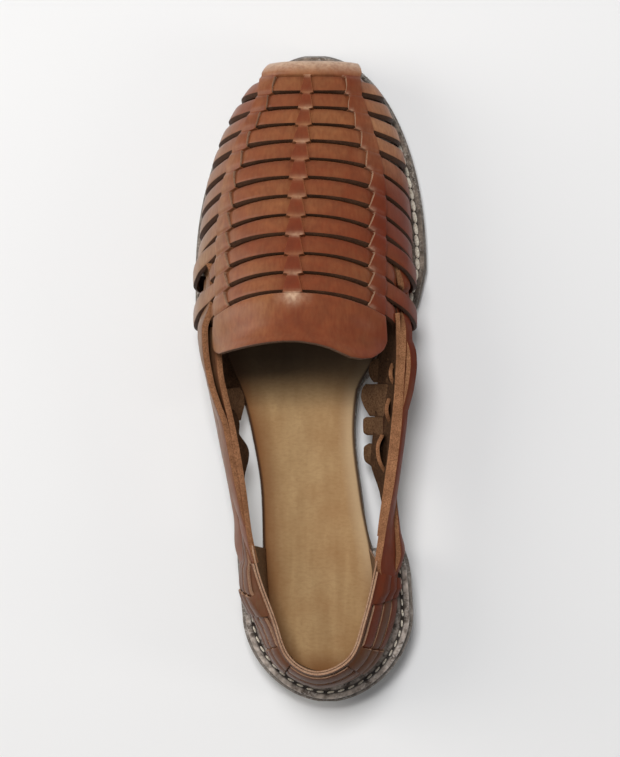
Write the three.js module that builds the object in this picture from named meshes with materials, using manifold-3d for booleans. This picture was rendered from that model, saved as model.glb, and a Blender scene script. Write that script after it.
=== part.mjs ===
// A woven leather slip-on loafer for the left foot: sole, heel, two welts, insole and one hollow upper.
// Millimetres. +X is the medial side, +Y the toe, +Z up, and the ground is z = 0.
import * as THREE from 'three';
import { mergeVertices } from 'three/addons/utils/BufferGeometryUtils.js';
import Module from 'manifold-3d';

// Clearance between neighbouring pieces.
const GAP = 0.3;
const MERGE_DISTANCE = 1e-4;

// Layer thicknesses of the bottom, and the heel's inset under the sole.
const SOLE_THICKNESS = 5;
const WELT_THICKNESS = 3.5;
const HEEL_INSET = 0.8;
const HEEL_TAPER = 1.5;
const HEEL_BREAST_Y = -81;

// Outline tables: the edge on each side along the shoe, closed by a superellipse at toe and heel.
const SOLE_EDGE = {
  toe: { from: 50, y: 149.3, x: 2.0, lateral: 1.92, medial: 2.12 },
  heel: { from: -110, y: -150.9, x: 8.6, lateral: 1.85, medial: 1.85 },
  rows: [
    { y: -110, lateral: -31.0, medial: 48.3 },
    { y: -92, lateral: -32.8, medial: 47.2 },
    { y: -80.5, lateral: -33.4, medial: 44.4 },
    { y: -79.5, lateral: -21.6, medial: 29.6 },
    { y: -56, lateral: -22.3, medial: 24.9 },
    { y: -24, lateral: -27.6, medial: 21.4 },
    { y: -8, lateral: -32.6, medial: 22.9 },
    { y: 8, lateral: -46.5, medial: 34.0 },
    { y: 20, lateral: -52.4, medial: 44.5 },
    { y: 34, lateral: -53.8, medial: 50.8 },
    { y: 50, lateral: -53.8, medial: 54.4 },
  ],
};
const INSOLE_EDGE = {
  toe: { from: 50, y: 137, x: 1.5, lateral: 1.85, medial: 2.15 },
  heel: { from: -110, y: -137.5, x: 8.2, lateral: 1.95, medial: 1.95 },
  rows: [
    { y: -110, lateral: -19.3, medial: 34.0 },
    { y: -80, lateral: -21.0, medial: 29.0 },
    { y: -56, lateral: -21.8, medial: 24.4 },
    { y: -24, lateral: -27.1, medial: 20.9 },
    { y: -8, lateral: -31.6, medial: 22.0 },
    { y: 8, lateral: -38.4, medial: 30.0 },
    { y: 20, lateral: -41.2, medial: 35.5 },
    { y: 50, lateral: -42.3, medial: 41.0 },
  ],
};
const LAST_EDGE = {
  toe: { from: 45, y: 144.6, x: 0.5, lateral: 2.1, medial: 2.65 },
  heel: { from: -10, y: -60, x: 0, lateral: 2, medial: 2 },
  rows: [
    { y: -10, lateral: -45.5, medial: 44.0 },
    { y: 15, lateral: -48.5, medial: 46.2 },
    { y: 45, lateral: -49.2, medial: 45.9 },
  ],
};
const SIDES = { lateral: -1, medial: 1 };

// Underside of the sole above the ground: heel seat, arched waist, flat forefoot, toe spring.
const SOLE_RISE = [
  { y: -151, z: 13 },
  { y: -78, z: 13 },
  { y: -60, z: 11.2 },
  { y: -30, z: 6.8 },
  { y: 0, z: 2.2 },
  { y: 30, z: 0 },
  { y: 88, z: 0 },
  { y: 110, z: 1.6 },
  { y: 130, z: 4.3 },
  { y: 150, z: 8 },
];

// Welt ends on each side.
const WELT_FOREFOOT = { cap: 'toe', lateral: 14, medial: 22 };
const WELT_HEEL = { cap: 'heel', lateral: -80.5, medial: -80.5 };

// Ridge of the last by weave row: row 0 is the toe's foot, rows 1 to 13 bound the twelve strips,
// and the throat flap ends near row 16. Lift is the ridge above the welt, drop is how far back the
// strip's ends stand from the ridge.
const RIDGE = [
  { row: 0, y: 143.5, x: 1.0, lift: 0, drop: 3.5 },
  { row: 0.35, y: 144.6, x: 0.9, lift: 9, drop: 3.5 },
  { row: 0.7, y: 142.9, x: 0.7, lift: 18.5, drop: 3.5 },
  { row: 1, y: 139.3, x: 0.4, lift: 24, drop: 3.5 },
  { row: 2.5, y: 126.6, x: 0.0, lift: 30, drop: 7.5 },
  { row: 5, y: 105.5, x: -0.8, lift: 38.6, drop: 15.5 },
  { row: 9, y: 71.8, x: -2.0, lift: 50.2, drop: 17.5 },
  { row: 13, y: 38.0, x: -3.2, lift: 61.4, drop: 17.5 },
  { row: 16.5, y: 8.5, x: -4.5, lift: 69, drop: 17.5 },
];
const FEATHER_LIFT = 1.3;
const NORMAL_REACH = 0.02;
const SECTION_POWER = 0.88;
const WIDEST_FRACTION = 0.2;
const TUCK_ANGLE = Math.acos(-((WIDEST_FRACTION / (1 - WIDEST_FRACTION)) ** (1 / SECTION_POWER)));

// The slotted panel: its outer edges across the section, from -1 (lateral) to 1 (medial). The toe flap
// takes nearly the whole section, the rails stand in from it, and the throat flap spreads again.
const PANEL = [
  { row: 0, lateral: -0.96, medial: 0.96 },
  { row: 0.5, lateral: -0.85, medial: 0.92 },
  { row: 0.9, lateral: -0.77, medial: 0.87 },
  { row: 1.1, lateral: -0.56, medial: 0.6 },
  { row: 1.35, lateral: -0.44, medial: 0.45 },
  { row: 2.2, lateral: -0.39, medial: 0.4 },
  { row: 3.5, lateral: -0.395, medial: 0.405 },
  { row: 5, lateral: -0.44, medial: 0.455 },
  { row: 7, lateral: -0.464, medial: 0.49 },
  { row: 13, lateral: -0.5, medial: 0.52 },
  { row: 15, lateral: -0.535, medial: 0.55 },
  { row: 16.5, lateral: -0.52, medial: 0.53 },
];
const RAIL_WIDTH = 0.113;
const SPINE_HALF_WIDTH = 0.035;
const TOE_FLAP_ROWS = [0, 0.2, 0.4, 0.6, 0.8, 0.97];
const WOVEN_ROWS = [1.03, 1.3, 2.2, 3.4, 4.6, 5.8, 7, 8.4, 9.8, 11.4, 12.97];
const THROAT_START_ROW = 13.03;
const PANEL_COLUMNS = 14;
const FIRST_ROW = 1;
const STRIP_COUNT = 12;
const THROAT_ROW = FIRST_ROW + STRIP_COUNT;
const THROAT_STEPS = 4;

// Row where the throat flap ends, across its width from the lateral (-1) to the medial (1) edge.
const THROAT_EDGE = [
  { part: -1, row: 15.0 },
  { part: -0.93, row: 15.7 },
  { part: -0.83, row: 15.95 },
  { part: -0.5, row: 15.8 },
  { part: 0, row: 15.57 },
  { part: 0.5, row: 15.95 },
  { part: 0.75, row: 16.2 },
  { part: 0.9, row: 15.9 },
  { part: 1, row: 14.7 },
];

// Thickness ranges above the last, as [inner, outer]. The panel lies under the strips between the two
// flaps; the flaps climb to the level of its rails and spine, which pass over the strips.
const PANEL_WALL = [0, 1.7];
const FLAP_LIFT = 2.6;
const TOE_FLAP_CLIMB = [0.3, 0.95];
const THROAT_FLAP_CLIMB = [14.8, 13.2];
const BAR_ENDS = [0.6, 13.9];
const STRIP_OVER_PANEL = [0.7, 3.5];
const STRIP_ON_SIDE = [0.2, 2.2];
const BAR_WALL = [0.7, 4.6];
const BAR_SINK = 0.3;
const STRIP_WIDTH = 7.4;
const STRIP_MOST_OF_PITCH = 0.92;
const STRIP_SETTLE = 0.2;
const STRIP_STEPS = 20;
const BAR_STEPS = 22;
const WRAPPED_ROW = 11;
const WRAPPED_REACH = 0.86;

// Quarter and counter wall: its foot and its collar, from the lateral front round the heel.
const WALL = [
  { foot: [-50.0, 46, 22.0], collar: [-43.5, 46, 49] },
  { foot: [-49.5, 22, 21.5], collar: [-40.5, 22, 55] },
  { foot: [-46.5, 0, 21.5], collar: [-37.0, 0, 55] },
  { foot: [-41.5, -25, 22.0], collar: [-31.8, -25, 53] },
  { foot: [-35.5, -50, 22.5], collar: [-27.5, -50, 53] },
  { foot: [-27.0, -82, 22.3], collar: [-21.6, -84, 57] },
  { foot: [-23.5, -108, 22.3], collar: [-13.0, -108, 61] },
  { foot: [-12.5, -132, 22.3], collar: [-6.5, -125, 62.5] },
  { foot: [8.5, -142.5, 22.3], collar: [5.5, -131.5, 63] },
  { foot: [29.5, -132, 22.3], collar: [19.0, -125, 62.5] },
  { foot: [40.5, -108, 22.3], collar: [25.3, -108, 61] },
  { foot: [38.0, -82, 22.3], collar: [30.5, -86, 57] },
  { foot: [40.5, -50, 22.5], collar: [36.8, -50, 53] },
  { foot: [43.5, -25, 22.0], collar: [39.8, -25, 53] },
  { foot: [46.0, 0, 21.5], collar: [42.3, 0, 55] },
  { foot: [47.0, 22, 21.5], collar: [43.0, 22, 55] },
  { foot: [46.8, 46, 22.0], collar: [41.0, 46, 49] },
];
const WALL_BULGE = 2.2;
const WALL_THICKNESS = 2;

// Bands on that wall: along it from one station to another, low and high as parts of its height.
const SIDE_STRAPS = [
  { from: 0, to: 5.6, low: 0.52, high: 1, out: 0 },
  { from: 0, to: 5.6, low: 0.04, high: 0.5, out: 1.7 },
  { from: 10.4, to: 16, low: 0.52, high: 1, out: 0 },
  { from: 10.4, to: 16, low: 0.04, high: 0.5, out: 1.7 },
];
const SIDE_STRAP_STEPS = 18;
const COUNTER = { from: 5, to: 11, low: 0, high: 1, out: 0 };
const COUNTER_STEPS = 30;
const COUNTER_RISE_STEPS = 5;
const COUNTER_ZONES = [[5.35, 6.65], [7.2, 8.8], [9.35, 10.65]];
const COUNTER_STRAPS = 4;
const COUNTER_STRAP_PITCH = 0.235;
const COUNTER_STRAP_HEIGHT = 0.19;
const COUNTER_STRAP_FOOT = 0.05;
const COUNTER_STRAP_OUT = 1.6;
const COUNTER_STRAP_STEPS = 7;

const FINISH = {
  leather: { color: 0x8a4526, roughness: 0.42, metalness: 0 },
  insole: { color: 0xa8763f, roughness: 0.5, metalness: 0 },
  welt: { color: 0x4a4038, roughness: 0.6, metalness: 0 },
  sole: { color: 0x3a332c, roughness: 0.65, metalness: 0 },
};

const wasm = await Module();
wasm.setup();

// Value of a table's column at a place along it, on a cubic that never overshoots its rows.
function lookUp(rows, axis, column, at) {
  const last = rows.length - 1;
  if (at <= rows[0][axis]) return rows[0][column];
  if (at >= rows[last][axis]) return rows[last][column];
  const chord = (k) => (rows[k + 1][column] - rows[k][column]) / (rows[k + 1][axis] - rows[k][axis]);
  const slope = (k) => {
    if (k === 0) return chord(0);
    if (k === last) return chord(last - 1);
    const before = chord(k - 1);
    const after = chord(k);
    return before * after <= 0 ? 0 : (2 * before * after) / (before + after);
  };
  let row = 0;
  while (rows[row + 1][axis] < at) row += 1;
  const span = rows[row + 1][axis] - rows[row][axis];
  const part = (at - rows[row][axis]) / span;
  const rest = 1 - part;
  return rows[row][column] * rest * rest * (1 + 2 * part)
    + rows[row + 1][column] * part * part * (1 + 2 * rest)
    + span * part * rest * (slope(row) * rest - slope(row + 1) * part);
}

// Edge of an outline on one side, at a place along the shoe.
function edgeX(outline, side, y) {
  const cap = y > outline.toe.from ? outline.toe : outline.heel;
  const inCap = y > outline.toe.from || y < outline.heel.from;
  if (!inCap) return lookUp(outline.rows, 'y', side, y);
  const reach = lookUp(outline.rows, 'y', side, cap.from) - cap.x;
  const part = Math.min(1, (y - cap.from) / (cap.y - cap.from));
  return cap.x + reach * (1 - part ** cap[side]) ** (1 / cap[side]);
}

// Point on a toe or heel cap, turned from its straight side (0) to its tip (1).
function capPoint(outline, capName, side, turn) {
  const cap = outline[capName];
  const angle = (turn * Math.PI) / 2;
  const reach = lookUp(outline.rows, 'y', side, cap.from) - cap.x;
  const power = 2 / cap[side];
  return {
    x: cap.x + reach * Math.max(0, Math.cos(angle)) ** power,
    y: cap.from + (cap.y - cap.from) * Math.sin(angle) ** power,
  };
}

const soleBottom = (y) => lookUp(SOLE_RISE, 'y', 'z', y);
const soleTop = (y) => soleBottom(y) + SOLE_THICKNESS;
const weltBottom = (y) => soleTop(y) + GAP;
const weltTop = (y) => weltBottom(y) + WELT_THICKNESS;

const steps = (count) => Array.from({ length: count + 1 }, (_, k) => k / count);
const mix = (a, b, part) => a + (b - a) * part;

// Closed body between two grids of points of one size: skin, back and four borders.
function slab(front, back) {
  const rows = front.length;
  const columns = front[0].length;
  const positions = [...front.flat(), ...back.flat()].flatMap((p) => [p.x, p.y, p.z]);
  const at = (layer, r, c) => layer * rows * columns + r * columns + c;
  const index = [];
  const quad = (a, b, c, d) => index.push(a, b, c, a, c, d);
  for (let r = 0; r < rows - 1; r += 1) {
    for (let c = 0; c < columns - 1; c += 1) {
      quad(at(0, r, c), at(0, r + 1, c), at(0, r + 1, c + 1), at(0, r, c + 1));
      quad(at(1, r, c), at(1, r, c + 1), at(1, r + 1, c + 1), at(1, r + 1, c));
    }
    quad(at(0, r, 0), at(1, r, 0), at(1, r + 1, 0), at(0, r + 1, 0));
    const end = columns - 1;
    quad(at(0, r + 1, end), at(1, r + 1, end), at(1, r, end), at(0, r, end));
  }
  for (let c = 0; c < columns - 1; c += 1) {
    quad(at(0, 0, c + 1), at(1, 0, c + 1), at(1, 0, c), at(0, 0, c));
    const end = rows - 1;
    quad(at(0, end, c), at(1, end, c), at(1, end, c + 1), at(0, end, c + 1));
  }
  const geometry = new THREE.BufferGeometry();
  geometry.setAttribute('position', new THREE.Float32BufferAttribute(positions, 3));
  geometry.setIndex(index);
  return outward(geometry);
}

// Volume inside a closed triangle mesh, negative when its faces point in.
function signedVolume(geometry) {
  const { array } = geometry.getAttribute('position');
  const index = geometry.getIndex().array;
  const corner = (k) => new THREE.Vector3().fromArray(array, 3 * index[k]);
  let volume = 0;
  for (let k = 0; k < index.length; k += 3) {
    volume += corner(k).dot(corner(k + 1).cross(corner(k + 2))) / 6;
  }
  return volume;
}

function outward(geometry) {
  if (signedVolume(geometry) < 0) geometry.getIndex().array.reverse();
  return geometry;
}

function toSolid(geometry) {
  const merged = mergeVertices(geometry, MERGE_DISTANCE);
  return new wasm.Manifold(new wasm.Mesh({
    numProp: 3,
    vertProperties: new Float32Array(merged.getAttribute('position').array),
    triVerts: new Uint32Array(merged.getIndex().array),
  }));
}

function fuse(geometries) {
  const whole = geometries.map(toSolid).reduce((sum, piece) => sum.add(piece));
  const mesh = whole.getMesh();
  const geometry = new THREE.BufferGeometry();
  geometry.setAttribute('position', new THREE.Float32BufferAttribute(mesh.vertProperties, 3));
  geometry.setIndex(Array.from(mesh.triVerts));
  return geometry;
}

// Places along an outline, closer together round its two caps.
function stations(outline, from, to) {
  const capSteps = 9;
  const straightStep = 7;
  const nearTip = 0.965;
  const places = outline.rows.map((row) => row.y);
  for (let y = outline.heel.from; y < outline.toe.from; y += straightStep) places.push(y);
  for (const turn of steps(capSteps)) {
    places.push(capPoint(outline, 'toe', 'medial', turn * nearTip).y);
    places.push(capPoint(outline, 'heel', 'medial', turn * nearTip).y);
  }
  const closest = 0.4;
  const sorted = places.filter((y) => y >= from && y <= to).sort((a, b) => a - b);
  return sorted.filter((y, k) => k === 0 || y - sorted[k - 1] > closest);
}

// Flat layer inside an outline, between two heights that follow the sole's rise.
function layer(outline, places, bottom, top, inset, bottomInset) {
  const grid = (height, margin) => places.map((y) => [
    new THREE.Vector3(edgeX(outline, 'lateral', y) + margin, y, height(y)),
    new THREE.Vector3(edgeX(outline, 'medial', y) - margin, y, height(y)),
  ]);
  return slab(grid(top, inset), grid(bottom, bottomInset));
}

function outsole() {
  return layer(SOLE_EDGE, stations(SOLE_EDGE, -Infinity, Infinity), soleBottom, soleTop, 0, 0);
}

function heel() {
  const places = stations(SOLE_EDGE, -Infinity, HEEL_BREAST_Y);
  places.push(HEEL_BREAST_Y);
  places.shift();
  const top = soleBottom(HEEL_BREAST_Y) - GAP;
  return layer(SOLE_EDGE, places, () => 0, () => top, HEEL_INSET, HEEL_TAPER);
}

function insole() {
  return layer(INSOLE_EDGE, stations(INSOLE_EDGE, -Infinity, Infinity), weltBottom, weltTop, 0, 0);
}

// Strip round the toe or heel, from the sole's edge in to the insole's edge.
function welt(ends) {
  const capSteps = 10;
  const straightSteps = 5;
  const margins = [];
  const addStraight = (side, turned) => {
    const cap = SOLE_EDGE[ends.cap];
    const parts = turned ? steps(straightSteps).reverse() : steps(straightSteps);
    for (const part of parts.slice(turned ? 1 : 0, turned ? undefined : -1)) {
      const y = mix(ends[side], cap.from, part);
      const inner = edgeX(INSOLE_EDGE, side, y) + SIDES[side] * GAP;
      margins.push([{ x: edgeX(SOLE_EDGE, side, y), y }, { x: inner, y }]);
    }
  };
  const addCap = (side, turned) => {
    const parts = turned ? steps(capSteps).reverse().slice(1) : steps(capSteps);
    for (const turn of parts) {
      const inner = capPoint(INSOLE_EDGE, ends.cap, side, turn);
      const lengthwise = Math.sign(SOLE_EDGE[ends.cap].y) * GAP * Math.sin((turn * Math.PI) / 2);
      const across = SIDES[side] * GAP * Math.cos((turn * Math.PI) / 2);
      margins.push([
        capPoint(SOLE_EDGE, ends.cap, side, turn),
        { x: inner.x + across, y: inner.y + lengthwise },
      ]);
    }
  };
  addStraight('lateral', false);
  addCap('lateral', false);
  addCap('medial', true);
  addStraight('medial', true);
  const grid = (height) => margins.map((pair) => pair.map((p) => new THREE.Vector3(p.x, p.y, height(p.y))));
  return slab(grid(weltTop), grid(weltBottom));
}

// Point on the last at a weave row and a place across the section.
function lastPoint(row, across) {
  const side = across < 0 ? 'lateral' : 'medial';
  const ridge = (column) => lookUp(RIDGE, 'row', column, row);
  const endY = ridge('y') - ridge('drop');
  const foot = weltTop(endY) + FEATHER_LIFT;
  const widest = foot + ridge('lift') * WIDEST_FRACTION;
  const angle = Math.abs(across) * TUCK_ANGLE;
  const reach = edgeX(LAST_EDGE, side, endY) - ridge('x');
  const round = (value) => Math.sign(value) * Math.abs(value) ** SECTION_POWER;
  return new THREE.Vector3(
    ridge('x') + reach * round(Math.sin(angle)),
    ridge('y') - ridge('drop') * across * across,
    widest + ridge('lift') * (1 - WIDEST_FRACTION) * round(Math.cos(angle)),
  );
}

// The same point lifted off the last along its outward normal.
function liftedPoint(row, across, lift) {
  const low = Math.max(0, row - NORMAL_REACH);
  const alongRows = lastPoint(row + NORMAL_REACH, across).sub(lastPoint(low, across));
  const acrossRows = lastPoint(row, across + NORMAL_REACH).sub(lastPoint(row, across - NORMAL_REACH));
  const normal = alongRows.cross(acrossRows).normalize();
  return lastPoint(row, across).addScaledVector(normal, lift);
}

function panelAcross(row, part) {
  const side = part < 0 ? 'lateral' : 'medial';
  return Math.abs(part) * lookUp(PANEL, 'row', side, row);
}

// How far a flap has climbed off the last at a row, none between the flaps.
function flapLift(row) {
  if (row < FIRST_ROW) return FLAP_LIFT * THREE.MathUtils.smoothstep(row, ...TOE_FLAP_CLIMB);
  if (row < THROAT_ROW) return 0;
  const [low, high] = THROAT_FLAP_CLIMB;
  return FLAP_LIFT * (1 - THREE.MathUtils.smoothstep(row, high, low));
}

function vampPanel() {
  const parts = steps(PANEL_COLUMNS).map((k) => mix(-1, 1, k));
  const throatEnd = (part) => lookUp(THROAT_EDGE, 'part', 'row', part);
  const rowsAt = (part) => [
    ...TOE_FLAP_ROWS,
    ...WOVEN_ROWS,
    ...steps(THROAT_STEPS).map((k) => mix(THROAT_START_ROW, throatEnd(part), k)),
  ];
  const grid = (lift) => rowsAt(0).map((_, r) => parts.map((part) => {
    const row = rowsAt(part)[r];
    return liftedPoint(row, panelAcross(row, part), lift + flapLift(row));
  }));
  return slab(grid(PANEL_WALL[1]), grid(PANEL_WALL[0]));
}

// Raised bar of the panel that the strips pass under, between two places across each row.
function panelBar(lowEdge, highEdge) {
  const rows = steps(BAR_STEPS).map((k) => mix(...BAR_ENDS, k));
  const top = (row) => {
    const inFlap = row < FIRST_ROW || row > THROAT_ROW;
    return inFlap ? Math.min(BAR_WALL[1], PANEL_WALL[1] + flapLift(row) - BAR_SINK) : BAR_WALL[1];
  };
  const grid = (lift) => rows.map((row) => [
    liftedPoint(row, lowEdge(row), lift(row)),
    liftedPoint(row, highEdge(row), lift(row)),
  ]);
  return slab(grid(top), grid(() => BAR_WALL[0]));
}

function panelBars() {
  const lateral = (row) => lookUp(PANEL, 'row', 'lateral', row);
  const medial = (row) => lookUp(PANEL, 'row', 'medial', row);
  return [
    panelBar(lateral, (row) => lateral(row) + RAIL_WIDTH),
    panelBar(() => -SPINE_HALF_WIDTH, () => SPINE_HALF_WIDTH),
    panelBar((row) => medial(row) - RAIL_WIDTH, medial),
  ];
}

// One cross strip, from welt to welt, raised over the panel and let down on the last at the sides.
function crossStrip(number) {
  const row = FIRST_ROW + number + 0.5;
  const reach = row > WRAPPED_ROW ? WRAPPED_REACH : 1;
  const places = steps(STRIP_STEPS).map((k) => mix(-reach, reach, k));
  const settle = (across) => {
    const edge = Math.abs(lookUp(PANEL, 'row', across < 0 ? 'lateral' : 'medial', row));
    return THREE.MathUtils.smoothstep(Math.abs(across), edge, edge + STRIP_SETTLE);
  };
  const grid = (face) => places.map((across) => {
    const lift = mix(STRIP_OVER_PANEL[face], STRIP_ON_SIDE[face], settle(across));
    const pitch = lastPoint(row + 0.5, across).distanceTo(lastPoint(row - 0.5, across));
    const half = Math.min(STRIP_MOST_OF_PITCH, STRIP_WIDTH / pitch) / 2;
    return [liftedPoint(row - half, across, lift), liftedPoint(row + half, across, lift)];
  });
  return slab(grid(1), grid(0));
}

const footCurve = new THREE.CatmullRomCurve3(
  WALL.map((row) => new THREE.Vector3(...row.foot)), false, 'catmullrom', 0.5,
);
const collarCurve = new THREE.CatmullRomCurve3(
  WALL.map((row) => new THREE.Vector3(...row.collar)), false, 'catmullrom', 0.5,
);

// Point on the quarter and counter wall at a station and a part of its height, lifted outwards.
function wallPoint(station, height, lift) {
  const place = (at, up) => {
    const foot = footCurve.getPoint(at / (WALL.length - 1));
    return foot.lerp(collarCurve.getPoint(at / (WALL.length - 1)), up);
  };
  const low = Math.max(0, station - NORMAL_REACH);
  const high = Math.min(WALL.length - 1, station + NORMAL_REACH);
  const along = place(high, height).sub(place(low, height));
  const upward = place(station, 1).sub(place(station, 0));
  const normal = along.cross(upward).normalize();
  const bulge = WALL_BULGE * 4 * height * (1 - height);
  return place(station, height).addScaledVector(normal, bulge + lift);
}

function wallBand(band, alongSteps, upSteps) {
  const grid = (lift) => steps(alongSteps).map((k) => steps(upSteps).map((u) => (
    wallPoint(mix(band.from, band.to, k), mix(band.low, band.high, u), lift)
  )));
  return slab(grid(band.out + WALL_THICKNESS), grid(band.out));
}

function counterStraps() {
  return COUNTER_ZONES.flatMap(([from, to]) => (
    Array.from({ length: COUNTER_STRAPS }, (_, k) => {
      const low = COUNTER_STRAP_FOOT + k * COUNTER_STRAP_PITCH;
      const band = { from, to, low, high: low + COUNTER_STRAP_HEIGHT, out: COUNTER_STRAP_OUT };
      return wallBand(band, COUNTER_STRAP_STEPS, 1);
    })
  ));
}

function upper() {
  return fuse([
    vampPanel(),
    ...panelBars(),
    ...Array.from({ length: STRIP_COUNT }, (_, number) => crossStrip(number)),
    ...SIDE_STRAPS.map((band) => wallBand(band, SIDE_STRAP_STEPS, 1)),
    wallBand(COUNTER, COUNTER_STEPS, COUNTER_RISE_STEPS),
    ...counterStraps(),
  ]);
}

function piece(name, geometry, finish) {
  geometry.computeVertexNormals();
  const mesh = new THREE.Mesh(geometry, new THREE.MeshStandardMaterial(finish));
  mesh.name = name;
  return mesh;
}

const loafer = new THREE.Group();
loafer.add(
  piece('outsole', outsole(), FINISH.sole),
  piece('heel', heel(), FINISH.sole),
  piece('welt_forefoot', welt(WELT_FOREFOOT), FINISH.welt),
  piece('welt_heel', welt(WELT_HEEL), FINISH.welt),
  piece('insole', insole(), FINISH.insole),
  piece('upper', upper(), FINISH.leather),
);

// The origin is on the ground, under the middle of the shoe's box.
const middle = new THREE.Box3().setFromObject(loafer).getCenter(new THREE.Vector3());
loafer.position.set(-middle.x, -middle.y, 0);

export default loafer;
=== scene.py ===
# %% [markdown]
# # A woven loafer
# This is a left slip-on shoe. Twelve leather strips are woven through a slotted vamp panel, layered
# straps cross the open waist on each side, four more straps are woven through the heel counter, and all
# of it stands on a welted sole with a low heel. The lines of the sole, the last and the wall are those of
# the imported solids, whose box says where the shoe stands. In this lesson each piece of leather is cut
# flat, pulled over the shoemaker's last, given its thickness and finished.

# %% Load the frame
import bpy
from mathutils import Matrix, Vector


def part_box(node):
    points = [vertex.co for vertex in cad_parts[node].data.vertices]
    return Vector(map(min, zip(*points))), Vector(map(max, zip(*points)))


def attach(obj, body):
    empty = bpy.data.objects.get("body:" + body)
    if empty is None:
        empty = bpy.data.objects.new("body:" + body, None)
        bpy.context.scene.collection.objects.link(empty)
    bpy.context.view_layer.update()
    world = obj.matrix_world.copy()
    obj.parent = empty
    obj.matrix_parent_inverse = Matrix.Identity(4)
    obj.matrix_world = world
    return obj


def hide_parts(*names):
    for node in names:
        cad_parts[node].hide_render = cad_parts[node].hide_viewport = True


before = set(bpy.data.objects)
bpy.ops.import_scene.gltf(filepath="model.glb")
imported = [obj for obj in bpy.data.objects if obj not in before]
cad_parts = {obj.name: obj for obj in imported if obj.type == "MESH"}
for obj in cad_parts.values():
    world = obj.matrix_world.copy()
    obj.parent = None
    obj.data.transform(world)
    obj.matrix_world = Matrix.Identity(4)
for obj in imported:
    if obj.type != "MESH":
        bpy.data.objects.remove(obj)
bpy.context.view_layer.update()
print("frame nodes:", ", ".join(sorted(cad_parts)))

# %% [markdown]
# ## Units and zero
# The shoe's own lines are written in millimetres, as a pattern cutter would have them. The frame is in
# metres, and its zero is under the middle of the shoe's box, so two edges that are known on both sides,
# the sole's lateral edge and the toe's tip, tell how far the one zero lies from the other.

# %% Units and the shoe's zero
import math

import bpy
import numpy as np
from mathutils import Matrix, Vector

MM = 0.001
SOLE_LATERAL_X = -53.8
SOLE_TOE_Y = 149.3
zero = np.array([
    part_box("outsole")[0].x / MM - SOLE_LATERAL_X,
    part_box("welt_forefoot")[1].y / MM - SOLE_TOE_Y,
    0.0,
])
print("pattern zero lies at", zero.round(2), "mm in the frame")

# %% [markdown]
# ## Smooth lines from short tables
# A shoe is drawn from a few measured sections. A plain straight line between two sections would leave
# a corner, and a loose curve would swell past them. This curve takes its slope at each section from
# both neighbours and goes level at a peak, so it stays between the sections.

# %% A curve through a short table
def curve(places, values):
    places = np.array(places, float)
    values = np.array(values, float)
    chords = np.diff(values) / np.diff(places)
    before, after = chords[:-1], chords[1:]
    agree = before * after > 0
    inner = np.where(agree, 2 * before * after / np.where(agree, before + after, 1), 0)
    slopes = np.concatenate([chords[:1], inner, chords[-1:]])

    def value(at):
        at = np.clip(at, places[0], places[-1])
        k = np.clip(np.searchsorted(places, at, side="right") - 1, 0, len(places) - 2)
        span = places[k + 1] - places[k]
        part = (at - places[k]) / span
        rest = 1 - part
        level = values[k] * rest**2 * (1 + 2 * part) + values[k + 1] * part**2 * (1 + 2 * rest)
        return level + span * part * rest * (slopes[k] * rest - slopes[k + 1] * part)

    return value


def smooth_step(value, low, high):
    part = np.clip((value - low) / (high - low), 0, 1)
    return part * part * (3 - 2 * part)


def bell(distance, reach):
    return np.exp(-((distance / reach) ** 2))


def mix(first, second, part):
    return first + (second - first) * part


print("a curve through 0, 1 and 0 peaks at", float(curve((0, 1, 2), (0, 1, 0))(1)))

# %% [markdown]
# ## Lines of the sole
# The sole, the insole and the last each have an outline: a table of widths for the straight sides, and
# a rounded cap at toe and heel, close to an ellipse. The underside rises under the arch and at the toe,
# and every layer above follows that rise.

# %% Outlines and heights of the sole
SOLE_THICKNESS = 5
WELT_THICKNESS = 3.5
SEAT_GAP = 0.3
BALL_Y = 50
sole_bottom = curve(
    (-151, -78, -60, -30, 0, 30, 88, 110, 130, 150),
    (13, 13, 11.2, 6.8, 2.2, 0, 0, 1.6, 4.3, 8),
)


def sole_top(y):
    return sole_bottom(y) + SOLE_THICKNESS


def welt_top(y):
    return sole_top(y) + SEAT_GAP + WELT_THICKNESS


def outline(toe, heel, y, lateral, medial):
    return {"toe": toe, "heel": heel, "lateral": curve(y, lateral), "medial": curve(y, medial)}


SOLE_EDGE = outline(
    {"start": BALL_Y, "y": SOLE_TOE_Y, "x": 2.0, "lateral": 1.92, "medial": 2.12},
    {"start": -110, "y": -150.9, "x": 8.6, "lateral": 1.85, "medial": 1.85},
    y=(-110, -92, -80.5, -79.5, -56, -24, -8, 8, 20, 34, BALL_Y),
    lateral=(-31, -32.8, -33.4, -21.6, -22.3, -27.6, -32.6, -46.5, -52.4, SOLE_LATERAL_X, SOLE_LATERAL_X),
    medial=(48.3, 47.2, 44.4, 29.6, 24.9, 21.4, 22.9, 34, 44.5, 50.8, 54.4),
)
INSOLE_EDGE = outline(
    {"start": BALL_Y, "y": 137, "x": 1.5, "lateral": 1.85, "medial": 2.15},
    {"start": -110, "y": -137.5, "x": 8.2, "lateral": 1.95, "medial": 1.95},
    y=(-110, -80, -56, -24, -8, 8, 20, BALL_Y),
    lateral=(-19.3, -21, -21.8, -27.1, -31.6, -38.4, -41.2, -42.3),
    medial=(34, 29, 24.4, 20.9, 22, 30, 35.5, 41),
)
LAST_EDGE = outline(
    {"start": 45, "y": 144.6, "x": 0.5, "lateral": 2.1, "medial": 2.65},
    {"start": -10, "y": -60, "x": 0, "lateral": 2, "medial": 2},
    y=(-10, 15, 45),
    lateral=(-45.5, -48.5, -49.2),
    medial=(44, 46.2, 45.9),
)


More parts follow.
